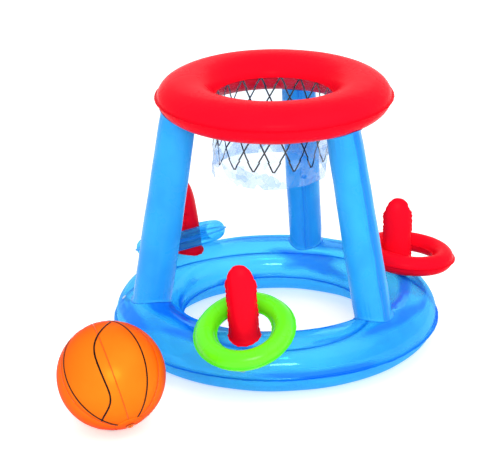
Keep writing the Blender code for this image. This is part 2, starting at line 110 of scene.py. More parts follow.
HOOP_HALF_WIDTH = 0.051
HOOP_LIP = 0.004
hoop_radius = (hoop_high.x - hoop_low.x) / 2 - HOOP_HALF_WIDTH - HOOP_LIP
hoop_height = (hoop_low.z + hoop_high.z) / 2
HOOP = Ring(hoop_radius, HOOP_HALF_WIDTH, hoop_high.z - hoop_height, hoop_height, hoop_height, HOOP_LIP)

TOSS = Ring(0.0701, 0.0185, 0.0185, 0.0, 0.0, 0.003)
WELD_THICK = 0.0008
print("base ring:", BASE)
print("hoop:", HOOP)


# %% [markdown]
# ## Colours and nodes
#
# Colours are written as the hex values that a picker gives, and one function turns them into the linear
# numbers that shaders work in. One more small function adds a shader node with its settings and links. A
# node that is given to it as an input stands for that node's first output.

# %% Colour and node helpers
def linear(hex_colour, alpha=1.0):
    """Linear colour of an sRGB hex value such as "ff0000"."""
    channels = [int(hex_colour[i:i + 2], 16) / 255 for i in (0, 2, 4)]
    return (*[c / 12.92 if c <= 0.04045 else ((c + 0.055) / 1.055) ** 2.4 for c in channels], alpha)


def add(tree, kind, inputs=None, **settings):
    """Shader node of a kind, with its settings, and with its sockets set or linked."""
    node = tree.nodes.new("ShaderNode" + kind)
    for name, value in settings.items():
        setattr(node, name, value)
    for socket, value in (inputs or {}).items():
        if isinstance(value, bpy.types.Node):
            value = value.outputs[0]
        if isinstance(value, bpy.types.NodeSocket):
            tree.links.new(value, node.inputs[socket])
        else:
            node.inputs[socket].default_value = value
    return node


def new_material(name):
    """Empty node material, its tree and its output node."""
    material = bpy.data.materials.new(name)
    material.use_nodes = True
    material.node_tree.nodes.clear()
    return material, material.node_tree, add(material.node_tree, "OutputMaterial")


def per_metre(millimetres):
    """Noise scale that gives a pattern of about that many millimetres."""
    return 1000 / millimetres


print("pure red in linear numbers:", linear("ff0000"))


# %% [markdown]
# ## Opaque vinyl
#
# The hoop, legs, pegs and two toss rings are calendered PVC film, pressed between hot rollers and coloured
# all through. It is smooth with a soft gloss, and never quite even: the plasticiser leaves cloudy patches
# some centimetres across, the rollers leave a fine orange-peel, and handling leaves faint ripples. Where
# two films are welded the toothed tool has pressed ribs across them, a few millimetres apart, and the
# colour looks a shade deeper.
#
# Two mesh attributes carry what depends on the piece. The weld attribute says where films are welded, and on
# the right and the back leg it also says where a band of painted shade lies beside the lap. The other
# attribute says where the base ring's film is drawn denser and deeper blue, as painted shade and dark
# reflections. The UV map's
# X counts the teeth of a ring's weld. PVC has an index of refraction of 1.53, but the matt plasticiser bloom
# takes away most of its reflection, least on the green.

# %% Vinyl surface
CLOUD_MM = 60
RIPPLE_MM = 14
# The orange-peel of real film is finer than a millimetre, too fine to show here, so it is drawn coarser.
PEEL_MM = 1.6
TOOTH_MM = 4.4
CLOUD_TONE = 0.22
TOOTH_VALLEY = 0.55


def vinyl_surface(tree, colour, deep, roughness):
    """Cloudy colour, roughness and bump that every vinyl film here shares."""
    coords = add(tree, "TexCoord")
    place = coords.outputs["Object"]
    cloud = add(tree, "TexNoise", {"Vector": place, "Scale": per_metre(CLOUD_MM), "Detail": 3.0})
    ripple = add(tree, "TexNoise", {"Vector": place, "Scale": per_metre(RIPPLE_MM), "Detail": 2.0})
    peel = add(tree, "TexNoise", {"Vector": place, "Scale": per_metre(PEEL_MM), "Detail": 1.0})
    around = add(tree, "SeparateXYZ", {"Vector": coords.outputs["UV"]})
    ribs = add(tree, "Math", {0: around, 1: 0.5}, operation="PINGPONG")
    weld = add(tree, "Attribute", attribute_name="weld").outputs["Fac"]
    painted_shade = add(tree, "Attribute", attribute_name="painted_shade").outputs["Fac"]
    patchy = add(tree, "MapRange", {"Value": cloud, "From Min": 0.35, "From Max": 0.65,
                                    "To Min": 0.0, "To Max": CLOUD_TONE})
    toothed = add(tree, "MapRange", {"Value": ribs, "From Max": 0.5, "To Min": TOOTH_VALLEY, "To Max": 1.0})
    deeper = add(tree, "Math", {0: weld, 1: toothed}, operation="MULTIPLY")
    # Painted shade: where the mesh carries bands of painted shade, the colour turns deeper, as it does at a
    # weld.
    darkest = add(tree, "Math", {0: painted_shade, 1: deeper}, operation="MAXIMUM")
    share = add(tree, "Math", {0: patchy, 1: darkest}, operation="MAXIMUM")
    tone = add(tree, "Mix", {"Factor": share, "A": linear(colour), "B": linear(deep)}, data_type="RGBA")
    gloss = add(tree, "MapRange", {"Value": cloud, "From Min": 0.3, "From Max": 0.7,
                                   "To Min": roughness - 0.04, "To Max": roughness + 0.06})
    waves = add(tree, "Bump", {"Height": ripple, "Strength": 0.25, "Distance": 0.0012})
    grain = add(tree, "Bump", {"Height": peel, "Strength": 0.12, "Distance": 0.0002, "Normal": waves})
    tooling = add(tree, "Math", {0: ribs, 1: weld}, operation="MULTIPLY")
    bump = add(tree, "Bump", {"Height": tooling, "Strength": 0.5, "Distance": 0.0006, "Normal": grain})
    return tone.outputs["Result"], gloss, bump


# %% Opaque vinyl material
PVC_INDEX = 1.53
CALENDERED_ROUGHNESS = 0.27


def opaque_vinyl(name, colour, deep, gloss_level):
    """Coloured PVC film that nothing shows through; gloss_level is what bloom leaves of its reflection."""
    material, tree, output = new_material(name)
    tone, gloss, bump = vinyl_surface(tree, colour, deep, CALENDERED_ROUGHNESS)
    shader = add(tree, "BsdfPrincipled", {"Base Color": tone, "Roughness": gloss, "Normal": bump,
                                          "IOR": PVC_INDEX, "Specular IOR Level": gloss_level})
    tree.links.new(shader.outputs[0], output.inputs["Surface"])
    return material


red_vinyl = opaque_vinyl("red calendered PVC", "ff1029", "ec0420", 0.012)
blue_vinyl = opaque_vinyl("opaque blue calendered PVC", "30b0ff", "0a6cf0", 0.14)
green_vinyl = opaque_vinyl("green calendered PVC", "6cff1c", "46ec0e", 0.35)
print("opaque vinyls:", [material.name for material in (red_vinyl, blue_vinyl, green_vinyl)])


# %% [markdown]
# ## See-through vinyl
#
# The base ring and one toss ring are tinted clear PVC. Light goes straight through such a thin film, takes
# its tint and loses a little at each wall, while the skin itself still gives back some colour. At a slant
# the light's way through the film is longer, so the rim of a tube looks denser. A Transparent shader with a
# tint, mixed with the vinyl's own surface by that slant, does both. Refraction is left out, because a film
# this thin doesn't bend what is seen through it.
#
# A clear film's gloss doesn't depend on how much shows through it, so it is a layer of its own over the
# mix: faint where the film faces the viewer, strong at the rim. A Fresnel node would treat the inner face
# as the inside of a solid block and turn it dark, so the layer goes by the slant alone, the same on both
# faces.
#
# The ball's film is filled with white pigment under its dye, so it hides what is behind it. Principled's
# coat does the dye: its tint deepens where the light's way through it is longer, towards the rim. The
# pigment is pearly, which an index above that of PVC and a yellow reflection stand for.

# %% See-through vinyl material
RIM_BLEND = 0.35
WELD_DENSITY = 0.35
PAINTED_SHADE_DENSITY = 0.55
GLOSS_POWER = 3.0
GLOSS_FACING = 0.1


def clear_vinyl(name, colour, deep, tint, rim_tint, facing, slant, roughness, mirror, surface):
    """Tinted PVC film; facing and slant are the shares of its own surface, mirror the gloss at its rim."""
    material, tree, output = new_material(name)
    tone, gloss, bump = vinyl_surface(tree, colour, deep, roughness)
    skin = add(tree, "BsdfPrincipled", {"Base Color": tone, "Roughness": gloss, "Normal": bump} | surface)
    rim = add(tree, "LayerWeight", {"Blend": RIM_BLEND}).outputs["Facing"]
    dye = add(tree, "Mix", {"Factor": rim, "A": linear(tint), "B": linear(rim_tint)}, data_type="RGBA")
    through = add(tree, "BsdfTransparent", {"Color": dye.outputs["Result"]})
    weld = add(tree, "Attribute", attribute_name="weld").outputs["Fac"]
    painted_shade = add(tree, "Attribute", attribute_name="painted_shade").outputs["Fac"]
    density = add(tree, "MapRange", {"Value": rim, "To Min": facing, "To Max": slant})
    # Painted shade: the bands of painted shade also make the film's skin denser, so less shows through it.
    with_painted_shade = add(tree, "Math", {0: painted_shade, 1: PAINTED_SHADE_DENSITY, 2: density}, operation="MULTIPLY_ADD")
    doubled = add(tree, "Math", {0: weld, 1: WELD_DENSITY, 2: with_painted_shade}, operation="MULTIPLY_ADD",
                  use_clamp=True)
    mixed = add(tree, "MixShader", {"Fac": doubled, 1: through, 2: skin})
    shine = add(tree, "BsdfGlossy", {"Color": linear(rim_tint), "Roughness": gloss, "Normal": bump})
    grazing = add(tree, "LayerWeight", {"Blend": 0.5, "Normal": bump}).outputs["Facing"]
    steep = add(tree, "Math", {0: grazing, 1: GLOSS_POWER}, operation="POWER")
    eased = add(tree, "Math", {0: steep, 1: 1 - GLOSS_FACING, 2: GLOSS_FACING}, operation="MULTIPLY_ADD")
    bounce = add(tree, "Math", {0: eased, 1: mirror}, operation="MULTIPLY", use_clamp=True)
    glossed = add(tree, "MixShader", {"Fac": bounce, 1: mixed, 2: shine})
    tree.links.new(glossed.outputs[0], output.inputs["Surface"])
    return material


blue_film = clear_vinyl("see-through blue PVC", "14acff", "006cff", "9cf2ff", "88e0ff",
                        0.2, 0.38, 0.08, 0.5, {"Specular IOR Level": 0.0})
orange_film = clear_vinyl("translucent orange PVC", "ffb040", "ff9028", "ffd070", "ff6a50",
                          0.95, 0.97, 0.40, 0.0,
                          {"IOR": 1.9, "Specular IOR Level": 0.9, "Specular Tint": linear("ffc440"),
                           "Coat Weight": 1.0, "Coat IOR": 1.05, "Coat Roughness": 0.4,
                           "Coat Tint": linear("ffc890"), "Sheen Weight": 0.35, "Sheen Roughness": 0.2,
                           "Sheen Tint": linear("ff2a70")})
print("films:", blue_film.name, "and", orange_film.name)


# %% [markdown]
# ## Building with a grid
#
# A leg, a peg, the skirt or a patch is one sheet closed on itself. Blender's grid operator gives such a
# sheet with its UV map, and each of its vertices is then put where the sheet's rule says. The first and the
# last column fall on each other and are merged, so the seam is closed.
#
# Every piece is finished in the same way. Its mesh becomes an object at the origin, with its material and
# the attributes that the material reads. Where the piece is open, Solidify gives the film its thickness.

# %% Helpers that make and finish a piece
def sheet_of(columns):
    """Closed sheet whose columns run from one end of the piece to the other."""
    sheet = bmesh.new()
    sheet.loops.layers.uv.new("UVMap")
    around = len(columns)
    along = len(columns[0]) - 1
    bmesh.ops.create_grid(sheet, x_segments=around, y_segments=along, size=1, calc_uvs=True)
    for vertex in sheet.verts:
        column = round((vertex.co.x + 1) / 2 * around)
        row = round((vertex.co.y + 1) / 2 * along)
        vertex.co = columns[column % around][row]
    bmesh.ops.remove_doubles(sheet, verts=sheet.verts, dist=0.00002)
    bmesh.ops.recalc_face_normals(sheet, faces=sheet.faces)
    return sheet


def finish(name, sheet, material, body, replaces=(), slot=None, wall=None, welds=None, painted_shades=None):
    """Object of a bmesh that rides on a body and stands for CAD nodes."""
    mesh = bpy.data.meshes.new(name)
    sheet.to_mesh(mesh)
    sheet.free()
    mesh.shade_smooth()
    mesh.materials.append(material)
    for attribute_name, share in (("weld", welds), ("painted_shade", painted_shades)):
        if share is not None:
            attribute = mesh.attributes.new(attribute_name, "FLOAT", "POINT")
            attribute.data.foreach_set("value", [share(vertex.co) for vertex in mesh.vertices])
    piece = bpy.data.objects.new(name, mesh)
    scene.collection.objects.link(piece)
    if wall:
        film = piece.modifiers.new("film", "SOLIDIFY")
        film.thickness = wall
        film.offset = -1
    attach(piece, body)
    if replaces:
        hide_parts(*replaces)
    print(name, len(mesh.vertices), "vertices")
    return piece


# %% [markdown]
# ## Folds
#
# Where a flat film is forced round a ring it gathers, and the spare length shows as short folds that run
# away from the weld and die out. A noise field read on a circle repeats without a seam; where it crosses
# zero the film is creased in. Taking the crossings gives sharp valleys with soft pillows between them.

# %% Fold functions
def ripple(azimuth, count, seed):
    """Smooth random value round a circle, with about that many waves."""
    reach = count / FULL_TURN
    return noise.noise(Vector((reach * math.cos(azimuth), reach * math.sin(azimuth), seed)))


def valley(value, width=0.12):
    """1 in the middle of a fold, where a smooth value crosses zero, and 0 away from it."""
    return max(0.0, 1 - abs(value) / width) ** 2


def fade(distance, reach):
    """1 at nothing, 0 from reach on, and smooth between."""
    share = max(0.0, 1 - distance / reach)
    return share * share


# %% [markdown]
# ## A ring chamber
#
# A ring is two flat rings of film, one over the other, welded along both edges. Blown up, the section is
# an ellipse with a flat weld sticking out at each side. The section's outline is drawn once and spun round
# with bmesh's spin. Where a ring stands on the floor, its underside bends over into a flat band.
#
# The wall is then drawn in along two sets of folds, many short ones and a third as many long ones, and the
# edge of the weld is scalloped, as the shears leave it. Round the foot of a leg or a peg more folds run out
# like rays, where the weld pulls at the film.

# %% Ring chamber
FLOOR_BEND = 0.005


def wall_points(ring, count, floor=None):
    """Section of a ring's wall, from its outer weld over the top, round the inner weld and back under."""
    start = math.asin((ring.seam + WELD_THICK / 2 - ring.height) / ring.half_height)
    under = math.asin((ring.seam - WELD_THICK / 2 - ring.height) / ring.half_height)

    def point(angle):
        height = ring.height + ring.half_height * math.sin(angle)
        if floor is not None and height < floor + FLOOR_BEND:
            height = floor + max(0.0, height - floor + FLOOR_BEND) ** 2 / (4 * FLOOR_BEND)
        return ring.radius + ring.half_width * math.cos(angle), height

    upper = [point(angle) for angle in evenly(start, math.pi - start, count)]
    lower = [point(angle) for angle in evenly(under, -math.pi - under, count)][::-1]
    outer_weld = [(upper[0][0] + ring.lip * share, upper[0][1]) for share in (1.0, 0.5)]
    inner_weld = [(upper[-1][0] - ring.lip * share, upper[-1][1]) for share in (0.5, 1.0)]
    return (outer_weld + upper + inner_weld
            + [(radius, height - WELD_THICK) for radius, height in inner_weld[::-1]] + lower
            + [(radius, height - WELD_THICK) for radius, height in outer_weld[::-1]])


def weld_distance(ring, point):
    """How far a point of a ring's section lies from the foot of its nearer weld, in a straight line."""
    radius = math.hypot(point.x, point.y)
    rim = math.sqrt(max(0.0, 1 - ((ring.seam - ring.height) / ring.half_height) ** 2)) * ring.half_width
    sides = (ring.radius + rim, ring.radius - rim)
    return min(math.hypot(radius - side, point.z - ring.seam) for side in sides)


def weld_share(ring, matrix):
    """Function for the weld attribute: 1 on a ring's flat welds, and 0 past a few millimetres of wall."""
    inverse = matrix.inverted()

    def share(point):
        local = inverse @ point
        outside = abs(math.hypot(local.x, local.y) - ring.radius) - ring.half_width
        near = max(0.0, 1 - weld_distance(ring, local) / (ring.lip * 1.2))
        return 1.0 if outside > ring.lip * 0.1 else near

    return share


def count_teeth(sheet, radius):
    """UV map of a ring about Z whose X counts the weld's teeth round it, a whole number in all."""
    teeth = round(FULL_TURN * radius * 1000 / TOOTH_MM)
    layer = sheet.loops.layers.uv.new("UVMap")
    for face in sheet.faces:
        turns = [math.atan2(loop.vert.co.y, loop.vert.co.x) / FULL_TURN for loop in face.loops]
        across_start = max(turns) - min(turns) > 0.5
        for loop, turn in zip(face.loops, turns):
            if across_start and turn < 0:
                turn += 1
            loop[layer].uv = (turn * teeth, loop.vert.co.z)


# %% Blowing up a ring
Folds = namedtuple("Folds", "count depth reach swell scallop")
LONG_FOLDS = 1 / 3
LONG_DEPTH = 0.6
LONG_REACH = 2.2
SWELL_PER_METRE = 14
RAYS = 9
RAY_WIDTH = 0.2
RAY_DEPTH = 1.6
RAY_REACH = 3
RAY_START = 0.01


def fold_from_feet(vertex, inward, folds, feet, seed):
    """Draw a vertex of the wall in where it lies in a fold that runs out from one of the feet."""
    for number, (place, radius) in enumerate(feet):
        around = vertex.co - place
        gone = around.length - radius
        if 0 < gone < folds.reach * RAY_REACH:
            ray = valley(ripple(math.atan2(around.y, around.x), RAYS, seed + number), RAY_WIDTH)
            near = min(1.0, gone / RAY_START) * fade(gone, folds.reach * RAY_REACH)
            vertex.co += inward * folds.depth * RAY_DEPTH * ray * near


def ring_chamber(ring, matrix, folds, steps, count, seed, floor=None, feet=()):
    """Inflated ring with its welds and folds; feet are (point, radius) where a tube is welded to it."""
    sheet = bmesh.new()
    outline = [sheet.verts.new((radius, 0, height)) for radius, height in wall_points(ring, count, floor)]
    edges = [sheet.edges.new((a, b)) for a, b in zip(outline, outline[1:] + outline[:1])]
    bmesh.ops.spin(sheet, geom=outline + edges, axis=UP, cent=(0, 0, 0), angle=FULL_TURN, steps=steps,
                   use_merge=True)
    bmesh.ops.recalc_face_normals(sheet, faces=sheet.faces)
    count_teeth(sheet, ring.radius + ring.half_width)
    for vertex in sheet.verts:
        azimuth = math.atan2(vertex.co.y, vertex.co.x)
        outward = polar(1, azimuth)
        side = vertex.co - polar(ring.radius, azimuth, ring.height)
        if abs(side.dot(outward)) > ring.half_width * 1.005:
            edge = ripple(azimuth, steps / 3, seed + 5) * folds.scallop
            wave = ripple(azimuth, folds.count, seed) * folds.depth
            vertex.co += outward * math.copysign(edge, side.dot(outward)) + UP * wave
            continue
        away = weld_distance(ring, vertex.co)
        calm = min([1.0] + [max(0.0, (vertex.co - place).length - radius) / radius for place, radius in feet])
        fold_from_feet(vertex, -side.normalized(), folds, feet, seed)
        short = valley(ripple(azimuth, folds.count, seed)) * fade(away, folds.reach)
        long = valley(ripple(azimuth, folds.count * LONG_FOLDS, seed + 9))
        pull = folds.depth * (short + LONG_DEPTH * long * fade(away, folds.reach * LONG_REACH))
        swell = folds.swell * noise.noise(vertex.co * SWELL_PER_METRE + UP * seed)
        if floor is None or vertex.co.z > floor + ring.lip:
            vertex.co += side.normalized() * (swell - pull) * calm
    bmesh.ops.transform(sheet, matrix=matrix, verts=sheet.verts)
    return sheet


# %% [markdown]
# ## Where the legs and pegs stand
#
# Each leg and peg is placed by an azimuth and by a share of the ring's half width out from the middle of
# its tube, the same numbers that the solid model uses. The left and the right leg narrow a little towards
# the head, the back one widens a little, and the front peg leans.

# %% Places of the legs and pegs
LEG_TUBE = 0.0335
LEG_WELD = 0.003
Leg = namedtuple("Leg", "tube_shares foot_share foot_azimuth head_share head_azimuth")
LEGS = {
    "left": Leg((1.075, 0.99), 0.062, math.radians(192.5), 0.208, math.radians(192.8)),
    "right": Leg((1.03, 0.93), -0.03, math.radians(320.5), -0.02, math.radians(316)),
    "back": Leg((0.92, 0.95), 0.04, math.radians(74.9), 0.13, math.radians(74.5)),
}
PEG_TUBE = 0.0255
PEG_WELD = 0.004
PEG_SEAM = 0.003
PEG_HEIGHT = 0.186
PEG_ROUND = 0.0145
PEG_DOME = 0.040
Peg = namedtuple("Peg", "outward_share azimuth height_share lean_share seam")
PEGS = {
    "front": Peg(0.10, math.radians(257.4), 0.988, -0.06, 0.0),
    "right": Peg(0.215, math.radians(22.6), 0.979, 0.0, 0.0),
    "left": Peg(0.105, math.radians(133.7), 1.014, 0.0, math.radians(80)),
}


def on_ring(ring, share, azimuth, height=0.0):
    """Point at a share of a ring's half width out from the middle of its tube."""
    return polar(ring.radius + share * ring.half_width, azimuth, height)


base_top = BASE.height + BASE.half_height
leg_feet = [(on_ring(BASE, leg.foot_share, leg.foot_azimuth, base_top),
             LEG_TUBE * leg.tube_shares[0] + LEG_WELD) for leg in LEGS.values()]
peg_feet = [(on_ring(BASE, peg.outward_share, peg.azimuth, base_top), PEG_TUBE + PEG_WELD)
            for peg in PEGS.values()]
leg_heads = [(on_ring(HOOP, leg.head_share, leg.head_azimuth, HOOP.height - HOOP.half_height),
              LEG_TUBE * leg.tube_shares[1]) for leg in LEGS.values()]
print("feet on the base ring:", len(leg_feet + peg_feet), "and heads under the hoop:", len(leg_heads))


# %% [markdown]
# ## Base ring and hoop
#
# The base ring's welds sit a little under the middle of its tube, because the weight on it presses it down,
# and its underside is flat where it stands. The hoop is smaller and harder, so its folds are fewer.
#
# Long bands of painted shade lie round the base ring. There the film is drawn denser and deeper blue, in
# place of shade and dark reflections. Noise read on a circle that moves on round the section gives bands of
# that kind, and finer noise breaks their edges. Under the seam, where light from the floor falls on the film,
# the painted shade is faint.

# %% Base ring's painted shade
# These measures place the bands of painted shade round the ring and across its section.
SHADE_TURNS = 0.9
SHADE_BANDS = 2.0
SHADE_SEED = 32.5
SHADE_START = 0.04
SHADE_EDGE = 0.22
FINE_SHARE = 0.25
FINE_TURNS = SHADE_TURNS * 4
FINE_BANDS = SHADE_BANDS * 1.5
UNDER_SEAM = 0.15


def painted_shade_bands(point):
    """1 where the base ring's film carries painted shade, 0 between the bands, with a narrow edge."""
    local = point - AXIS.translation
    azimuth = math.atan2(local.y, local.x)
    section = math.atan2(point.z - BASE.height, math.hypot(local.x, local.y) - BASE.radius)
    value = noise.noise(polar(SHADE_TURNS, azimuth, section * SHADE_BANDS + SHADE_SEED))
    value += FINE_SHARE * noise.noise(polar(FINE_TURNS, azimuth, section * FINE_BANDS))
    seam_side = 1.0 if point.z > BASE.seam else UNDER_SEAM
    return seam_side * min(1.0, max(0.0, (value - SHADE_START) / SHADE_EDGE))


# %% Base ring and hoop
base_folds = Folds(count=90, depth=0.0011, reach=0.022, swell=0.0008, scallop=0.0012)
base = ring_chamber(BASE, AXIS, base_folds, 400, 34, 3.0, 0.0, leg_feet + peg_feet)
# The base ring carries the bands of painted shade.
finish("base_ring_films", base, blue_film, "frame", BASE_NODES, "blue_film", welds=weld_share(BASE, AXIS),
       painted_shades=painted_shade_bands)

hoop_folds = Folds(count=64, depth=0.0005, reach=0.014, swell=0.0005, scallop=0.0010)
hoop = ring_chamber(HOOP, AXIS, hoop_folds, 360, 30, 11.0, None, leg_heads)
finish("hoop_films", hoop, red_vinyl, "frame", ("hoop_film_upper", "hoop_film_lower"), "red_tube",
       welds=weld_share(HOOP, AXIS))


# %% [markdown]
# ## Toss rings
#
# Three small rings of the same make lie over the pegs. The green one is tipped down the slope of the base
# ring, the red one lies nearly level, and the blue one is tilted. The red and the blue one are caught on the
# side welds of their pegs, a few millimetres over the base. The middle of the CAD box is the ring's middle,
# and its lean is the one that the solid model gives it.

# %% Toss rings
TossLie = namedtuple("TossLie", "peg tilt roll material slot")
TOSS_RINGS = {
    "green_ring": TossLie("front", math.radians(24), math.radians(3), green_vinyl, "green_tube"),
    "red_ring": TossLie("right", math.radians(6.4), math.radians(0.9), red_vinyl, "red_tube"),
    "blue_ring": TossLie("left", math.radians(21.3), math.radians(1.3), blue_film, "blue_film"),
}
toss_folds = Folds(count=46, depth=0.0005, reach=0.009, swell=0.0005, scallop=0.0010)


def toss_place(name, lie):
    """Matrix that carries a level ring at the origin to where a toss ring lies."""
    low, high = box_of(name + "_film_upper", name + "_film_lower")
    azimuth = PEGS[lie.peg].azimuth
    outward = polar(1, azimuth)
    along = polar(1, azimuth + math.pi / 2)
    turn = Matrix.Rotation(lie.tilt, 4, along) @ Matrix.Rotation(lie.roll, 4, outward)
    return Matrix.Translation((low + high) / 2) @ turn


for number, (name, lie) in enumerate(TOSS_RINGS.items()):
    place = toss_place(name, lie)
    chamber = ring_chamber(TOSS, place, toss_folds, 220, 22, 20.0 + 7 * number)
    finish(name + "_films", chamber, lie.material, name, (name + "_film_upper", name + "_film_lower"),
           lie.slot, welds=weld_share(TOSS, place))


# %% [markdown]
# ## Where a tube meets a ring
#
# A leg is a sleeve of film whose ends are cut to the curve of the ring, turned out flat and welded down.
# Each line up the sleeve therefore starts where it leaves the ring. The point is found by halving: one
# end of the span lies inside the ring and the other outside, and after so many halvings the gap is far
# under a hair's breadth. The end lies on the ring's film, so the ring is taken half a millimetre thicker.

# %% Meeting a ring
HALVINGS = 24
FILM_OVER = 0.0005


def inside(ring, point, growth):
    """True if a point lies within a ring's tube, grown by a clearance."""
    across = (math.hypot(point.x, point.y) - ring.radius) / (ring.half_width + growth)
    upward = (point.z - ring.height) / (ring.half_height + growth)
    return across * across + upward * upward < 1


def meeting(ring, buried, free):
    """Where the line from a point in the ring's tube to one outside it comes out of its film."""
    for _ in range(HALVINGS):
        middle = (buried + free) / 2
        if inside(ring, middle, FILM_OVER):
            buried = middle
        else:
            free = middle
    return free


leg = LEGS["left"]
foot = on_ring(BASE, leg.foot_share, leg.foot_azimuth, BASE.height)
print("height of the base ring's film under the left leg:", meeting(BASE, foot, foot + UP).z)


# %% [markdown]
# ## Legs
#
# Three opaque blue tubes. The left one shows no seam in front, while the right and the back one show the
# lap where the sheet was closed into a tube: a puckered ridge with a groove beside it. The film is double
# along the lap. Beside the lap, a band of the right and the back leg is painted a deeper blue as shade. Near
# both ends the film is gathered into shallow flutes.

# %% Leg surface
LEG_COLUMNS = 132
LEG_ROWS = 90
LEG_BULGE = 0.0008
LEG_PINCH = 0.0010
LEG_PINCH_REACH = 0.03
LEG_FLUTE = 0.0016
LEG_FLUTES = 15
LEG_FLUTE_REACH = 0.06
LEG_DENT = 0.0009
LEG_FRILL = 0.35
LEG_FRILLS = 40
LAP_WANDER = 0.05
LAP_PUCKER = 0.9
LAP_RIDGE = 0.0009
LAP_RIDGE_REACH = 0.08
LAP_GROOVE = 0.0020
LAP_GROOVE_TURN = 0.12
LAP_GROOVE_REACH = 0.10


def lap_turn(angle, lap, share, seed):
    """Signed angle from a leg's lap, whose edge wanders a little up the leg."""
    return math.remainder(angle - lap - LAP_WANDER * noise.noise(UP * (share * 9 + seed)), FULL_TURN)


def leg_column(leg, angle, seed, lap):
    """Points up a leg at one angle round it, from the edge of its foot weld to the edge of its head weld."""
    foot = on_ring(BASE, leg.foot_share, leg.foot_azimuth, BASE.height)
    head = on_ring(HOOP, leg.head_share, leg.head_azimuth, HOOP.height)
    outward = polar(1, angle)
    at_foot, at_head = [LEG_TUBE * share for share in leg.tube_shares]
    half = (foot + head) / 2

    def ends(spread):
        middle = half + outward * ((at_foot + at_head) / 2 + spread)
        return (meeting(BASE, foot + outward * (at_foot + spread), middle),
                meeting(HOOP, head + outward * (at_head + spread), middle))

    frill = LEG_WELD * (1 + LEG_FRILL * ripple(angle, LEG_FRILLS, seed))
    low_edge, high_edge = ends(frill)
    low_mid, high_mid = ends(frill / 2)
    low, high = ends(0)
    length = (high - low).length
    points = [low_edge, low_mid]
    for share in evenly(0, 1, LEG_ROWS):
        point = low.lerp(high, share)
        near = min(share, 1 - share) * length
        bulge = LEG_BULGE * math.sin(math.pi * share) ** 0.6 - LEG_PINCH * fade(near, LEG_PINCH_REACH)
        flute = LEG_FLUTE * valley(ripple(angle, LEG_FLUTES, seed + 2), 0.16) * fade(near, LEG_FLUTE_REACH)
        dent = LEG_DENT * noise.noise(point * 16 + UP * seed) * min(1.0, near / 0.02)
        turn = abs(lap_turn(angle, lap, share, seed))
        pucker = 1 + LAP_PUCKER * noise.noise(UP * (share * 60 + seed))
        ridge = LAP_RIDGE * fade(turn, LAP_RIDGE_REACH)
        groove = LAP_GROOVE * fade(abs(turn - LAP_GROOVE_TURN), LAP_GROOVE_REACH)
        out = bulge + dent - flute + pucker * (ridge - groove)
        points.append(point + outward * out * min(1.0, near / 0.005))
    return points + [high_mid, high_edge]


# %% Leg welds and painted shade
LAP_EDGE = 0.06
LAP_BAND = 0.45
# How deep each leg's band of painted shade beside the lap is drawn.
LAP_PAINTED_SHADE = {"left": 0.0, "right": 0.9, "back": 0.35}


def leg_welds_and_shade(leg, lap, seed, shade_tone):
    """Weld attribute of a leg: its flat end welds, its lap's edge, and a band of painted shade beside it."""
    foot = AXIS @ on_ring(BASE, leg.foot_share, leg.foot_azimuth, BASE.height)
    head = AXIS @ on_ring(HOOP, leg.head_share, leg.head_azimuth, HOOP.height)

    def share(point):
        height = (point.z - foot.z) / (head.z - foot.z)
        side = point - foot.lerp(head, height)
        tube = LEG_TUBE * (leg.tube_shares[0] + (leg.tube_shares[1] - leg.tube_shares[0]) * height)
        beyond = math.hypot(side.x, side.y) - tube - LEG_BULGE * 1.5
        turn = lap_turn(math.atan2(side.y, side.x), lap, height, seed)
        on_edge = max(0.0, 1 - abs(turn) / LAP_EDGE)
        # Painted shade: a band beside the lap is drawn a deeper blue.
        in_painted_shade = shade_tone if 0 < turn < LAP_BAND else 0.0
        return min(1.0, max(0.0, beyond / (LEG_WELD / 2), on_edge, in_painted_shade))

    return share


# %% Make the legs
LAPS = {"left": math.radians(110), "right": math.radians(-57), "back": math.radians(-92)}
for number, (name, leg) in enumerate(LEGS.items()):
    lap, seed = LAPS[name], 40.0 + 3 * number
    columns = [[AXIS @ point for point in leg_column(leg, angle, seed, lap)]
               for angle in evenly(0, FULL_TURN, LEG_COLUMNS)[:-1]]
    finish("leg_%s_film" % name, sheet_of(columns), blue_vinyl, "frame", ("leg_" + name,), "blue_tube",
           wall=0.0004, welds=leg_welds_and_shade(leg, lap, seed, LAP_PAINTED_SHADE[name]))


# %% [markdown]
# ## Pegs
#
# A peg is two tongues of film laid face to face and welded along both sides and over the top, then turned
# out at the foot and welded to the base ring. Face on it keeps its width up to a round shoulder; seen from
# the side it tapers like a pillow. The weld stands out as a fin whose edge the sealing bar leaves wavy. It
# is fullest just under the shoulder, and over it the fin is thin and the dome a little narrower.

# %% Peg levels
PEG_ROWS = 80
PEG_DOME_POWER = 0.86


def peg_levels(tip):
    """Heights up a peg with the share of its full width that it has there, and its dome's slope angle."""
    straight = tip.z - PEG_DOME
    rows = [(height, 1.0, 0.0) for height in evenly(base_top, straight, PEG_ROWS)[:-1]]
    for angle in evenly(0, math.pi / 2, PEG_ROWS // 2):
        rows.append((straight + PEG_DOME * math.sin(angle), math.cos(angle) ** PEG_DOME_POWER, angle))
    return rows


# %% Peg surface
PEG_SHOULDER = 0.027
PEG_NARROW = 0.03
PEG_PUCKER = 0.0016
PEG_DENT = 0.0008
PEG_CREASE = 0.0015
PEG_FLARE = 0.45
PEG_FRILLS = 30
PEG_FOOT_ROWS = (1.0, 0.8, 0.5)
FIN_THINNING = 0.5
FIN_SHOULDER = 0.9


def fin_at(below, height, side_seed):
    """Shares of the full fin and of the dome's narrowing at a height up a peg, and below its tip."""
    scallop = noise.noise(UP * (height * 95 + side_seed)) + 0.6 * noise.noise(UP * (height * 230 + side_seed))
    narrow = min(1.0, max(0.0, 1 - (below - PEG_SHOULDER * 0.8) / (PEG_SHOULDER * 0.4)))
    full = 1 - FIN_THINNING * narrow + FIN_SHOULDER * fade(abs(below - PEG_SHOULDER * 1.35), 0.014)
    return full * (0.75 + 0.5 * scallop), narrow


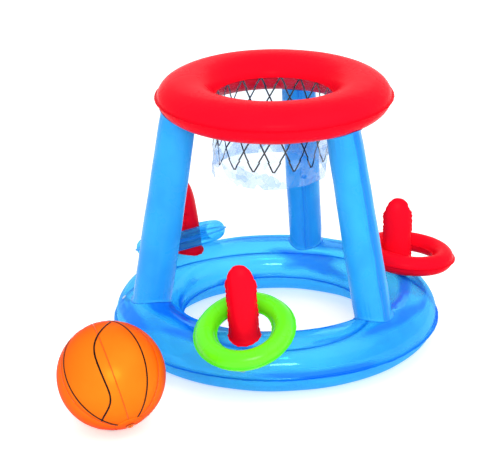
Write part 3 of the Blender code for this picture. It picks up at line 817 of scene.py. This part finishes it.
def peg_column(peg, foot, tip, angle, fin, seed):
    """Points up a peg at one angle round it, from the edge of its foot weld to its tip."""
    turn = Matrix.Rotation(peg.seam, 3, "Z")
    outward = turn @ polar(1, angle)
    axis = (tip - foot).normalized()

    def at_foot(radius):
        side = outward * radius
        return meeting(BASE, foot + side, tip + side)

    frill = PEG_WELD * (1.1 + 0.5 * ripple(angle, PEG_FRILLS, seed))
    points = [at_foot(PEG_TUBE + frill * share) for share in PEG_FOOT_ROWS]
    taper = tip.z - base_top - PEG_ROUND
    crease_height = points[-1].z
    side_seed = seed + (3 if math.cos(angle) > 0 else 0)
    for height, width_share, slope in peg_levels(tip):
        height = max(height, crease_height + PEG_CREASE)
        over_foot, below = height - crease_height, tip.z - height
        centre = foot.lerp(tip, (height - foot.z) / (tip.z - foot.z))
        depth_share = min(1.0, math.sqrt(max(0.0, below) / taper))
        full, narrow = fin_at(below, height, side_seed)
        width_share *= 1 - PEG_NARROW * narrow
        out = fin * PEG_SEAM * full * min(1.0, over_foot / 0.006)
        wave = noise.noise(UP * (height * 110 + side_seed))
        pucker = PEG_PUCKER * valley(wave, 0.25) * fade(abs(math.sin(angle)), 0.85)
        dent = PEG_DENT * noise.noise((centre + outward * PEG_TUBE) * 22 + UP * seed)
        flare = PEG_WELD * PEG_FLARE * fade(over_foot, 0.014)
        tube = PEG_TUBE + flare + (dent - pucker) * min(1.0, over_foot / 0.02)
        across = tube * width_share + out * math.cos(slope)
        through = tube * depth_share * width_share ** 0.5
        local = Vector((across * math.cos(angle), through * math.sin(angle), 0))
        points.append(centre + turn @ local + axis * out * math.sin(slope))
    return points


# %% Peg columns and welds
PEG_COLUMNS = 72
FIN_FOOT = 0.022
FIN_EDGE = FIN_FOOT * 0.4


def peg_angles():
    """Angles round a peg, closer together at the two fins, each with its share of the fin."""
    angles = [(angle, 0.0) for angle in evenly(0, FULL_TURN, PEG_COLUMNS)[:-1]
              if abs(math.sin(angle)) > math.sin(2 * FIN_FOOT)]
    for middle in (0.0, math.pi):
        for side in (-1, 1):
            angles += [(middle + side * FIN_FOOT, 0.0), (middle + side * FIN_EDGE, 1.0)]
    return sorted((angle % FULL_TURN, fin) for angle, fin in angles)


def peg_welds(peg):
    """Function for the weld attribute of a peg: 1 on its fins and on its foot's flat weld."""
    foot = AXIS @ on_ring(BASE, peg.outward_share, peg.azimuth, BASE.height)

    def share(point):
        flat = math.hypot(point.x - foot.x, point.y - foot.y) - PEG_TUBE
        beyond = flat if point.z < base_top + PEG_WELD else flat - PEG_SEAM * 0.2
        return min(1.0, max(0.0, beyond) / (PEG_SEAM / 2))

    return share


print("columns round a peg:", len(peg_angles()))

# %% Make the pegs
for number, (name, peg) in enumerate(PEGS.items()):
    foot = on_ring(BASE, peg.outward_share, peg.azimuth, BASE.height)
    tip = foot + Vector((PEG_HEIGHT * peg.lean_share, 0, PEG_HEIGHT * peg.height_share))
    columns = [[AXIS @ point for point in peg_column(peg, foot, tip, angle, fin, 60.0 + 5 * number)]
               for angle, fin in peg_angles()]
    finish("peg_%s_film" % name, sheet_of(columns), red_vinyl, "frame", ("peg_" + name,), "red_tube",
           welds=peg_welds(peg))


# %% [markdown]
# ## Net skirt
#
# The net is no net at all but a skirt of clear film, hung from the hoop's inner weld and printed with a
# dark net. Packed flat for months, it keeps its creases. The pale facets where they would catch the light
# are painted reflections in its material. The skirt's shape is creased in mesh code, and the print is drawn
# by the material from the UV map, so it follows every crease.
#
# One knot's width and two rows of the net make a unit square in which every line is a diagonal. Folded
# with ping-pong maths, all the lines fall together on the diagonal of a quarter of it. The loops at the
# top and the tips at the bottom are rounded, which turns the diagonal into a hyperbola there. How far a
# place misses the line, divided by how fast that miss grows, is its distance from the line in millimetres.
#
# The steps of these sums are a table: a name, the maths, and what goes in. One loop makes a node of each.

# %% Net measures
NET_DROP = 0.148
NET_KNOTS = 18
NET_ROW = 0.0373
NET_ROWS_PRINTED = 3
NET_LINE_MM = 2.9
NET_ROUND = 0.05
NET_SHARP = 0.001
NET_END = 0.25
NET_SPILL = 0.012
net_radius = HOOP.radius - HOOP.half_width - HOOP.lip - 0.0003
knot_mm = FULL_TURN * net_radius * 1000 / NET_KNOTS
print("mm from knot to knot:", round(knot_mm, 1))


# %% Net print
NET_TIP = NET_ROWS_PRINTED / 2
NET_STEPS = (
    ("across", "PINGPONG", "x", 0.5),
    ("down", "PINGPONG", "y", 0.5),
    ("low half", "GREATER_THAN", "y", 1.0),
    ("near top", "LESS_THAN", "y", NET_END),
    ("near tip", "GREATER_THAN", "y", NET_TIP - NET_END),
    ("at end", "MAXIMUM", "near top", "near tip"),
    ("rounding", "MULTIPLY_ADD", "at end", NET_ROUND, NET_SHARP),
    ("shifted", "MULTIPLY_ADD", "low half", -0.5, "across"),
    ("side", "ABSOLUTE", "shifted"),
    ("lowered", "MULTIPLY_ADD", "low half", -0.5, "down"),
    ("fall", "ABSOLUTE", "lowered"),
    ("round squared", "MULTIPLY", "rounding", "rounding"),
    ("squares", "MULTIPLY_ADD", "side", "side", "round squared"),
    ("root", "SQRT", "squares"),
    ("curve", "SUBTRACT", "root", "rounding"),
    ("apart", "SUBTRACT", "curve", "fall"),
    ("miss", "ABSOLUTE", "apart"),
    ("steepness", "DIVIDE", "side", "root"),
    ("steep squared", "MULTIPLY", "steepness", "steepness"),
    ("slope", "MULTIPLY_ADD", "steep squared", knot_mm ** -2, (2000 * NET_ROW) ** -2),
    ("per mm", "SQRT", "slope"),
    ("millimetres", "DIVIDE", "miss", "per mm"),
    ("below top", "GREATER_THAN", "y", -NET_SPILL),
    ("above tip", "LESS_THAN", "y", NET_TIP + NET_SPILL),
    ("printed", "MULTIPLY", "below top", "above tip"),
)


def net_print(tree, uv):
    """Share of ink at a place of the UV map, whose X counts knots and whose Y counts pairs of rows down."""
    values = {"x": uv.outputs["X"], "y": uv.outputs["Y"]}
    for name, operation, *terms in NET_STEPS:
        inputs = {number: values.get(term, term) for number, term in enumerate(terms)}
        values[name] = add(tree, "Math", inputs, operation=operation)
    line = add(tree, "MapRange", {"Value": values["millimetres"], "From Min": NET_LINE_MM * 0.4,
                                  "From Max": NET_LINE_MM * 0.6, "To Min": 1.0, "To Max": 0.0})
    return add(tree, "Math", {0: line, 1: values["printed"]}, operation="MULTIPLY")


# %% [markdown]
# ## Net film
#
# Crumpled film is a patchwork of flat facets, and each throws back a different share of the light. Here that
# light is painted. Two Voronoi patterns, one of large facets and one of small ones, give each facet its own
# share of the film's pale skin as a painted reflection, and a little noise bends their edges. The painted
# reflections are faint down to the net's second row and full at its tips.

# %% Net film
FACET_MM = 34
SHARD_MM = 13
WARP_MM = 40
WARP = 0.03
PAINTED_GLARE_LEAST = 0.04
PAINTED_GLARE_MOST = 0.34
GLINT = 0.16
GLARE_FROM = 0.9
GLARE_NEAR_HOOP = 0.06
RIM_HAZE = 0.03


def net_film():
    """Clear film with a net printed on it."""
    material, tree, output = new_material("clear PVC with printed net")
    coords = add(tree, "TexCoord")
    place = coords.outputs["Object"]
    uv = add(tree, "SeparateXYZ", {"Vector": coords.outputs["UV"]})
    ink = net_print(tree, uv)
    warp = add(tree, "TexNoise", {"Vector": place, "Scale": per_metre(WARP_MM), "Detail": 1.0})
    bent = add(tree, "VectorMath", {0: warp.outputs["Color"], 1: (WARP, WARP, WARP), 2: place},
               operation="MULTIPLY_ADD")
    facets = add(tree, "TexVoronoi", {"Vector": bent, "Scale": per_metre(FACET_MM)})
    shards = add(tree, "TexVoronoi", {"Vector": bent, "Scale": per_metre(SHARD_MM)})
    large = add(tree, "SeparateXYZ", {"Vector": facets.outputs["Color"]})
    small = add(tree, "SeparateXYZ", {"Vector": shards.outputs["Color"]})
    # Painted reflections: each large facet gets its share of pale skin, and the small ones add painted
    # glints.
    painted_glare = add(tree, "MapRange", {"Value": large, "From Min": 0.3, "To Min": PAINTED_GLARE_LEAST, "To Max": PAINTED_GLARE_MOST})
    glint = add(tree, "MapRange", {"Value": small, "From Min": 0.55, "To Min": 0.0, "To Max": GLINT})
    patch = add(tree, "Math", {0: painted_glare, 1: glint}, operation="ADD")
    # The painted reflections fade from the tips up towards the hoop.
    glare_fade = add(tree, "MapRange", {"Value": uv.outputs["Y"], "From Min": GLARE_FROM,
                                  "From Max": NET_TIP, "To Min": GLARE_NEAR_HOOP, "To Max": 1.0})
    painted_reflection = add(tree, "Math", {0: patch, 1: glare_fade}, operation="MULTIPLY")
    rim = add(tree, "LayerWeight", {"Blend": 0.3}).outputs["Facing"]
    slanted = add(tree, "Math", {0: rim, 1: RIM_HAZE, 2: painted_reflection}, operation="MULTIPLY_ADD")
    density = add(tree, "Math", {0: slanted, 1: ink}, operation="MAXIMUM", use_clamp=True)
    # The pale blue is the colour of the painted reflections, and the dark one is the printed net's ink.
    tone = add(tree, "Mix", {"Factor": ink, "A": linear("98ccff"), "B": linear("1c1618")}, data_type="RGBA")
    bump = add(tree, "Bump", {"Height": shards.outputs["Distance"], "Strength": 0.5, "Distance": 0.004})
    skin = add(tree, "BsdfPrincipled", {"Base Color": tone.outputs["Result"], "Roughness": 0.12,
                                        "IOR": PVC_INDEX, "Normal": bump})
    through = add(tree, "BsdfTransparent", {"Color": linear("f6fbff")})
    mixed = add(tree, "MixShader", {"Fac": density, 1: through, 2: skin})
    tree.links.new(mixed.outputs[0], output.inputs["Surface"])
    return material


clear_film = net_film()
print(clear_film.name, "has", len(clear_film.node_tree.nodes), "nodes")


# %% [markdown]
# ## Net skirt's shape
#
# The skirt hangs a little askew and narrows slightly to its hem, because the film was folded for so long.
# A Voronoi distance makes each facet a shallow pyramid with sharp creases between, and they grow from
# nothing at the weld, where the hoop holds the film round. Each vertex keeps its true distance down the
# film in its UV map, so the print keeps its size where the hem rises and falls.

# %% Crumpled film
NET_WAVE = 0.0045
NET_HELD = 0.045
NET_CUT = 0.0022
NET_CUT_WAVES = 11
Creases = namedtuple("Creases", "millimetres height")
NET_CREASES = (Creases(46, 0.0042), Creases(19, 0.0014))


def crumple(azimuth, depth):
    """How far the skirt stands out or in, growing with the distance from its weld."""
    place = polar(net_radius, azimuth, -depth * 0.8)
    out = NET_WAVE * noise.noise(place * 22 + UP * 4)
    for number, creases in enumerate(NET_CREASES):
        near, next_near = noise.voronoi(place * per_metre(creases.millimetres) + UP * number * 7)[0][:2]
        out += creases.height * (0.5 - (next_near - near)) * 1.6
    return out * min(1.0, depth / NET_HELD)


def net_hem(azimuth):
    """Length of the skirt at one azimuth, with the small unevenness of its cut edge."""
    return NET_DROP - NET_CUT * (1 + ripple(azimuth, NET_CUT_WAVES, 77))


# %% Net skirt
NET_LIP = 0.0024
NET_LIP_ROWS = 2
NET_BODY_ROWS = 96
NET_COLUMNS = 270
NET_SWING = -0.07
NET_NARROW = 0.04
NET_TURN = math.radians(3)


def net_column(azimuth):
    """Points down the skirt at one azimuth, from its lip between the hoop's two films."""
    points = [polar(net_radius + NET_LIP * (1 - i / NET_LIP_ROWS), azimuth, HOOP.seam)
              for i in range(NET_LIP_ROWS)]
    for depth in evenly(0, net_hem(azimuth), NET_BODY_ROWS):
        radius = (net_radius + crumple(azimuth, depth)) * (1 - NET_NARROW * depth / NET_DROP)
        points.append(polar(radius, azimuth, HOOP.seam - depth) + Vector((NET_SWING * depth, 0, 0)))
    return [AXIS @ point for point in points]


skirt = sheet_of([net_column(azimuth) for azimuth in evenly(0, FULL_TURN, NET_COLUMNS)[:-1]])
layer = skirt.loops.layers.uv.active
for face in skirt.faces:
    for loop in face.loops:
        azimuth = loop[layer].uv.x * FULL_TURN
        row = loop[layer].uv.y * (NET_LIP_ROWS + NET_BODY_ROWS) - NET_LIP_ROWS
        depth = net_hem(azimuth) * row / NET_BODY_ROWS
        loop[layer].uv = ((azimuth - NET_TURN) / FULL_TURN * NET_KNOTS, depth / NET_ROW / 2)
net = finish("net_skirt_film", skirt, clear_film, "frame", ("net_skirt",), "clear_film", wall=0.0003)


# %% [markdown]
# ## Ball
#
# The ball is six gores of orange film, closed at each pole by a round patch, with a basketball's lines
# printed in black. The ball's frame has its pole at the valve, and longitude nought faces the camera. Four
# lines run from pole to pole about a quarter turn apart, and on two opposite sides a line between them
# swings over like an S. The lines are thin strips of ink that lie on the film.

# %% Camera place and ball frame
CAMERA_SPOT = AXIS @ Vector((-0.0088, -3.6749, 1.6235))
BALL_RADIUS = 0.0936
GORES = ["ball_gore_%d" % (i + 1) for i in range(6)]
ball_low, ball_high = box_of(*GORES)
ball_middle = Vector(((ball_low.x + ball_high.x) / 2, (ball_low.y + ball_high.y) / 2, BALL_RADIUS))
pole = Vector((0.357, -0.605, -0.712)).normalized()
to_camera = (CAMERA_SPOT - ball_middle).normalized()
face = (to_camera - pole * to_camera.dot(pole)).normalized()
BALL = Matrix.Translation(ball_middle) @ Matrix((face, pole.cross(face), pole)).transposed().to_4x4()
print("middle of the ball:", ball_middle)


def on_ball(longitude, colatitude, radius=BALL_RADIUS):
    """Point on the ball, in degrees of longitude and of distance from the valve's pole."""
    across = radius * math.sin(math.radians(colatitude))
    return BALL @ polar(across, math.radians(longitude), radius * math.cos(math.radians(colatitude)))


# %% Ball film
GORE_TURN = -2.5
GORE_PULL = 0.0006
GORE_PUCKER = 0.0004
BALL_DENT = 0.0003
sphere = bmesh.new()
bmesh.ops.create_uvsphere(sphere, u_segments=144, v_segments=96, radius=BALL_RADIUS)
for vertex in sphere.verts:
    longitude = math.atan2(vertex.co.y, vertex.co.x)
    across = math.hypot(vertex.co.x, vertex.co.y)
    to_seam = abs(math.remainder(longitude - math.radians(GORE_TURN), math.radians(60))) * across
    pucker = GORE_PUCKER * valley(noise.noise(vertex.co * 90), 0.1) * fade(to_seam, 0.02)
    dent = BALL_DENT * (1 + noise.noise(vertex.co * 25))
    vertex.co *= 1 - (GORE_PULL * fade(to_seam, 0.012) + pucker + dent) / BALL_RADIUS
bmesh.ops.transform(sphere, matrix=BALL, verts=sphere.verts)
finish("ball_film", sphere, orange_film, "ball", GORES, "orange_film")


# %% [markdown]
# ## Strips on the ball
#
# A strip starts as one short edge across its path and is drawn along the path by extruding that edge. The
# printed lines and the welds between the gores are both such strips, with their own width and colour. The
# ink is screen printed: a matt black that lies unevenly on the film.

# %% Screen ink
# Real ink speckles by tenths of a millimetre, too fine to show here, so its speckle is drawn coarser.
SPECKLE_MM = 1.2
black_ink, tree, output = new_material("black screen ink")
place = add(tree, "TexCoord").outputs["Object"]
speckle = add(tree, "TexNoise", {"Vector": place, "Scale": per_metre(SPECKLE_MM), "Detail": 2.0})
gloss = add(tree, "MapRange", {"Value": speckle, "To Min": 0.4, "To Max": 0.6})
bump = add(tree, "Bump", {"Height": speckle, "Strength": 0.2, "Distance": 0.0002})
shader = add(tree, "BsdfPrincipled", {"Base Color": linear("120a0c"), "Roughness": gloss,
                                      "Specular IOR Level": 0.12, "Normal": bump})
tree.links.new(shader.outputs[0], output.inputs["Surface"])
print("ink:", black_ink.name)


# %% Strips
def strip(name, path, width, lift, material):
    """Flat strip along (longitude, colatitude) places on the ball."""
    ribbon = bmesh.new()
    places = [on_ball(longitude, colatitude, BALL_RADIUS + lift) for longitude, colatitude in path]
    edge = None
    for i, place in enumerate(places):
        ahead = places[min(i + 1, len(places) - 1)] - places[max(i - 1, 0)]
        side = ahead.cross(place - ball_middle).normalized() * width / 2
        if edge is None:
            pair = [ribbon.verts.new(place - side), ribbon.verts.new(place + side)]
            edge = ribbon.edges.new(pair)
            continue
        made = bmesh.ops.extrude_edge_only(ribbon, edges=[edge])["geom"]
        edge = next(item for item in made if isinstance(item, bmesh.types.BMEdge)
                    and not any(vertex in pair for vertex in item.verts))
        pair = sorted(edge.verts, key=lambda vertex: (vertex.co - (place - side)).length)
        pair[0].co, pair[1].co = place - side, place + side
    bmesh.ops.recalc_face_normals(ribbon, faces=ribbon.faces)
    middle = ribbon.faces[:][len(ribbon.faces) // 2]
    if middle.normal.dot(middle.calc_center_median() - ball_middle) < 0:
        bmesh.ops.reverse_faces(ribbon, faces=ribbon.faces)
    return finish(name, ribbon, material, "ball", (), "orange_film", wall=0.0001)


# %% Printed lines
LINE_WIDTH = 0.0029
LINE_LIFT = 0.0002
LINE_TURNS = (-41.5, 50.5, 139.0, 229.0)
SWAY_START = 8.8
SWAY_MIDDLE = 89
SWAY_REACH = 55
SWAY_TURN = 45


def sway(colatitude):
    """Longitude of the S-shaped line: straight in the middle, an eighth of a turn aside at its ends."""
    share = (SWAY_MIDDLE - colatitude) / SWAY_REACH
    return SWAY_START + SWAY_TURN * (share ** 7 if share > 0 else -(abs(share) ** 3))


for number, turn in enumerate(LINE_TURNS):
    path = [(turn, colatitude) for colatitude in evenly(15, 166, 60)]
    strip("ball_line_%d" % (number + 1), path, LINE_WIDTH, LINE_LIFT, black_ink)
for number, turn in enumerate((0, 180)):
    path = [(sway(colatitude) + turn, colatitude) for colatitude in evenly(34, 143, 70)]
    strip("ball_curve_%d" % (number + 1), path, LINE_WIDTH, LINE_LIFT, black_ink)

# %% [markdown]
# ## Gore welds and polar patches
#
# Between two gores the films overlap in a narrow weld, which looks a little redder than the rest because
# light crosses two films there. A round patch of film closes each pole. It lies on the gores, and its edge
# dips down to them.

# %% Gore welds
GORE_WELD = 0.0016
weld_film = opaque_vinyl("doubled orange PVC", "f6601a", "ee4c1c", 0.12)
for number in range(len(GORES)):
    path = [(GORE_TURN + 60 * number, colatitude) for colatitude in evenly(14, 166, 48)]
    strip("ball_gore_weld_%d" % (number + 1), path, GORE_WELD, LINE_LIFT / 2, weld_film)

# %% Polar patches
PATCH_EDGE = 16.0
PATCH_SPOKES = 72
PATCH_LIFT = 0.0005
PATCH_DIP = 0.0004
PATCH_SCALLOP = 0.25


def patch(name, first, last, node):
    """Round patch over a pole of the ball: a disc of rings that follow the ball."""
    columns = []
    for longitude in evenly(0, 360, PATCH_SPOKES)[:-1]:
        scallop = PATCH_SCALLOP * noise.noise(polar(2.5, math.radians(longitude), first))
        columns.append([on_ball(longitude, first + (last - first + scallop) * share,
                                BALL_RADIUS + PATCH_LIFT - PATCH_DIP * share ** 8)
                        for share in evenly(0, 1, 10)])
    return finish(name, sheet_of(columns), orange_film, "ball", (node,), "orange_film", wall=0.0002)


patch("ball_patch_valve", 4.0, PATCH_EDGE, "ball_cap_valve")
patch("ball_patch_plain", 180.0, 180.0 - PATCH_EDGE, "ball_cap_plain")

# %% [markdown]
# ## Valves
#
# Each chamber has a plug valve of soft moulded vinyl: a flange welded into the film, a stem pushed down
# into the chamber, a stopper with a rounded head, and a flap at the end of the stem that holds the air. It
# is clear, and orange on the ball. The joints of the frame say where each valve sits, because its stopper
# slides along its axis. The flaps are the solid model's own, in the same material.

# %% Valve material
clear_moulding = clear_vinyl("clear moulded PVC", "d9ecfa", "b9d8ee", "f2fbff", "d4ecfb",
                             0.35, 0.9, 0.2, 0.4, {"IOR": PVC_INDEX})
orange_moulding = clear_vinyl("orange moulded PVC", "ff8a30", "f4601c", "ffd090", "ff9a50",
                              0.6, 0.9, 0.2, 0.4, {"IOR": PVC_INDEX})
print("mouldings:", clear_moulding.name, "and", orange_moulding.name)

# %% Valve places
VALVE_STEM = 0.0036
VALVE_STEM_LENGTH = 0.010
CAD_GAP = 0.0003
VALVES = {"base": "base", "green": "green_ring", "red": "red_ring", "blue": "blue_ring", "ball": "ball"}


def joint(name):
    """One of the frame's joints by its name."""
    return next(item for item in frame["joints"] if item["name"] == name)


def valve_seat(prefix):
    """Matrix whose origin is where a valve's axis crosses the film, with Z pointing out of the chamber."""
    z = Vector(joint(prefix + "_stopper_pull")["axis"])
    hinge = joint(prefix + "_flap_hinge")
    y = -Vector(hinge["axis"])
    turn = Matrix((y.cross(z), y, z)).transposed()
    down = Vector((VALVE_STEM, 0, -VALVE_STEM_LENGTH - CAD_GAP))
    return Matrix.Translation(Vector(hinge["pos_m"]) - turn @ down) @ turn.to_4x4()


print("seat of the base ring's valve:", valve_seat("base").translation)


# %% Turning a moulding
SHARP_EDGE = math.radians(35)


def lathe(name, outline, seat, material, body, node, bevel):
    """Round moulding turned from an outline of (radius, height), with its sharp edges rounded."""
    turned = bmesh.new()
    points = [turned.verts.new((radius, 0, height)) for radius, height in outline]
    edges = [turned.edges.new((a, b)) for a, b in zip(points, points[1:])]
    starts_on_axis = outline[0][0] == 0
    if not starts_on_axis:
        edges.append(turned.edges.new((points[-1], points[0])))
    bmesh.ops.spin(turned, geom=points + edges, axis=UP, cent=(0, 0, 0), angle=FULL_TURN, steps=56,
                   use_merge=True)
    bmesh.ops.remove_doubles(turned, verts=turned.verts, dist=0.000005)
    bmesh.ops.recalc_face_normals(turned, faces=turned.faces)
    sharp = [edge for edge in turned.edges if edge.is_manifold and edge.calc_face_angle() > SHARP_EDGE]
    bmesh.ops.bevel(turned, geom=sharp, offset=bevel, segments=3, profile=0.5, affect="EDGES", material=-1,
                    clamp_overlap=True)
    bmesh.ops.transform(turned, matrix=seat, verts=turned.verts)
    return finish(name, turned, material, body, (node,), "clear_film")


# %% Valve outlines
VALVE_FLANGE = 0.008
VALVE_FLANGE_THICK = 0.0012
VALVE_BORE = 0.0022
VALVE_HEAD = 0.0046
VALVE_HEAD_THICK = 0.0014
PLUG_LENGTH = 0.006
rim = CAD_GAP + VALVE_FLANGE_THICK
shoulder = rim + CAD_GAP
top = shoulder + VALVE_HEAD_THICK
plug = VALVE_BORE - CAD_GAP
body_outline = [(VALVE_BORE, rim), (VALVE_STEM * 1.15, rim), (VALVE_STEM * 1.3, rim - 0.0004),
                (VALVE_FLANGE * 0.8, rim - 0.0006), (VALVE_FLANGE, CAD_GAP + 0.0003), (VALVE_FLANGE, CAD_GAP),
                (VALVE_STEM, CAD_GAP), (VALVE_STEM, -VALVE_STEM_LENGTH), (VALVE_BORE, -VALVE_STEM_LENGTH)]
stopper_outline = [(0, top), (VALVE_HEAD * 0.55, top - 0.0001), (VALVE_HEAD * 0.9, top - 0.0005),
                   (VALVE_HEAD, shoulder + 0.0004), (VALVE_HEAD * 0.97, shoulder), (plug, shoulder),
                   (plug, rim - PLUG_LENGTH * 0.75), (plug * 0.8, rim - PLUG_LENGTH), (0, rim - PLUG_LENGTH)]
print("a stopper is", round(1000 * (top - rim + PLUG_LENGTH), 1), "mm long")

# %% Valve bodies, stoppers and flaps
for joint_prefix, node_prefix in VALVES.items():
    seat = valve_seat(joint_prefix)
    chamber = "frame" if node_prefix == "base" else node_prefix
    moulding = orange_moulding if node_prefix == "ball" else clear_moulding
    lathe(node_prefix + "_valve_moulding", body_outline, seat, moulding, chamber,
          node_prefix + "_valve_body", 0.00025)
    lathe(node_prefix + "_stopper_moulding", stopper_outline, seat, moulding, joint_prefix + "_stopper",
          node_prefix + "_valve_stopper", 0.0002)
    flap = frame["nodes"][node_prefix + "_valve_flap"]
    flap.data.materials.clear()
    flap.data.materials.append(moulding)
print("valves:", len(VALVES))

# %% [markdown]
# ## Floor, light and camera
#
# The set stands on a white floor in a white room. A low wide soft box just over the camera gives the vinyl
# its soft highlights, where a wall faces the viewer, one from the upper right casts the shadows, and one
# behind draws a light band along the top of each tube. The world fills in the rest, a little under white.
# What the camera sees of the world is plain white, which adds no light, and what a glossy film mirrors of
# it is white behind the set and greyer on the camera's side, so that the film isn't veiled all over.
#
# The floor is painted matt white and lit like the set, which leaves it grey in the picture. What the camera
# sees of it is therefore lifted by some emission, and the set's shadow stays.

# %% Floor
FLOOR_LIFT = 0.45
floor_mesh = bmesh.new()
bmesh.ops.create_grid(floor_mesh, x_segments=1, y_segments=1, size=6)
mesh = bpy.data.meshes.new("floor")
floor_mesh.to_mesh(mesh)
floor_mesh.free()
floor = bpy.data.objects.new("floor", mesh)
scene.collection.objects.link(floor)
material, tree, output = new_material("white studio floor")
path = add(tree, "LightPath")
seen = path.outputs["Is Camera Ray"]
for kind in ("Is Glossy Ray", "Is Transmission Ray"):
    seen = add(tree, "Math", {0: seen, 1: path.outputs[kind]}, operation="MAXIMUM")
lift = add(tree, "Math", {0: seen, 1: FLOOR_LIFT}, operation="MULTIPLY")
shader = add(tree, "BsdfPrincipled", {"Base Color": linear("f2f2f2"), "Roughness": 0.9,
                                      "Specular IOR Level": 0.1, "Emission Color": linear("ffffff"),
                                      "Emission Strength": lift})
tree.links.new(shader.outputs[0], output.inputs["Surface"])
mesh.materials.append(material)
print("floor:", material.name)

# %% World
FILL = 0.94
FRONT_WALL = 0.35
world = bpy.data.worlds.new("studio")
world.use_nodes = True
world.node_tree.nodes.clear()
tree = world.node_tree
path = add(tree, "LightPath")
way = add(tree, "SeparateXYZ", {"Vector": add(tree, "TexCoord").outputs["Generated"]})
wall = add(tree, "MapRange", {"Value": way.outputs["Y"], "From Min": -0.3, "From Max": 0.3,
                              "To Min": FRONT_WALL, "To Max": 1.0})
mirrored = add(tree, "Math", {0: path.outputs["Is Glossy Ray"], 1: path.outputs["Is Transmission Ray"]},
               operation="MAXIMUM")
shown = add(tree, "MapRange", {"Value": mirrored, "To Min": FILL, "To Max": wall})
strength = add(tree, "MapRange", {"Value": path.outputs["Is Camera Ray"], "To Min": shown, "To Max": 1.0})
sky = add(tree, "Background", {"Color": linear("ffffff"), "Strength": strength})
add(tree, "OutputWorld", {"Surface": sky})
scene.world = world
scene.view_settings.view_transform = "Standard"
print("world:", world.name, "with a fill of", FILL)


# %% Lamps
def area_lamp(name, place, aim, width, height, power):
    """Soft box of a width and a height at a place, pointed at an aim."""
    lamp = bpy.data.lights.new(name, "AREA")
    lamp.shape = "RECTANGLE"
    lamp.size = width
    lamp.size_y = height
    lamp.energy = power
    holder = bpy.data.objects.new(name, lamp)
    holder.location = place
    holder.rotation_euler = (Vector(aim) - Vector(place)).to_track_quat("-Z", "Y").to_euler()
    holder.visible_camera = False
    scene.collection.objects.link(holder)
    print(name, power, "W")


area_lamp("front_lamp", (0.3, -3.9, 1.95), (0, 0, 0.2), 1.5, 0.40, 54)
area_lamp("right_lamp", (1.5, -1.0, 2.5), (0, 0, 0.2), 2.2, 2.2, 13)
area_lamp("back_lamp", (0.0, 3.4, 2.2), (0, 0, 0.1), 2.6, 0.9, 9)

# %% Camera
LENS = 152.999
PITCH = 0.368135
YAW = -0.010388
ROLL = -0.013564
forward = Vector((math.sin(YAW) * math.cos(PITCH), math.cos(YAW) * math.cos(PITCH), -math.sin(PITCH)))
right = forward.cross(UP).normalized()
upward = right.cross(forward)
tilted_right = right * math.cos(ROLL) + upward * math.sin(ROLL)
tilted_up = upward * math.cos(ROLL) - right * math.sin(ROLL)
camera_data = bpy.data.cameras.new("camera")
camera_data.sensor_width = 36
camera_data.lens = LENS
camera_data.clip_end = 50
camera = bpy.data.objects.new("camera", camera_data)
camera_turn = Matrix((tilted_right, tilted_up, -forward)).transposed().to_4x4()
camera.matrix_world = Matrix.Translation(CAMERA_SPOT) @ camera_turn
scene.collection.objects.link(camera)
scene.camera = camera
print("camera at", CAMERA_SPOT, "with a lens of", LENS, "mm")
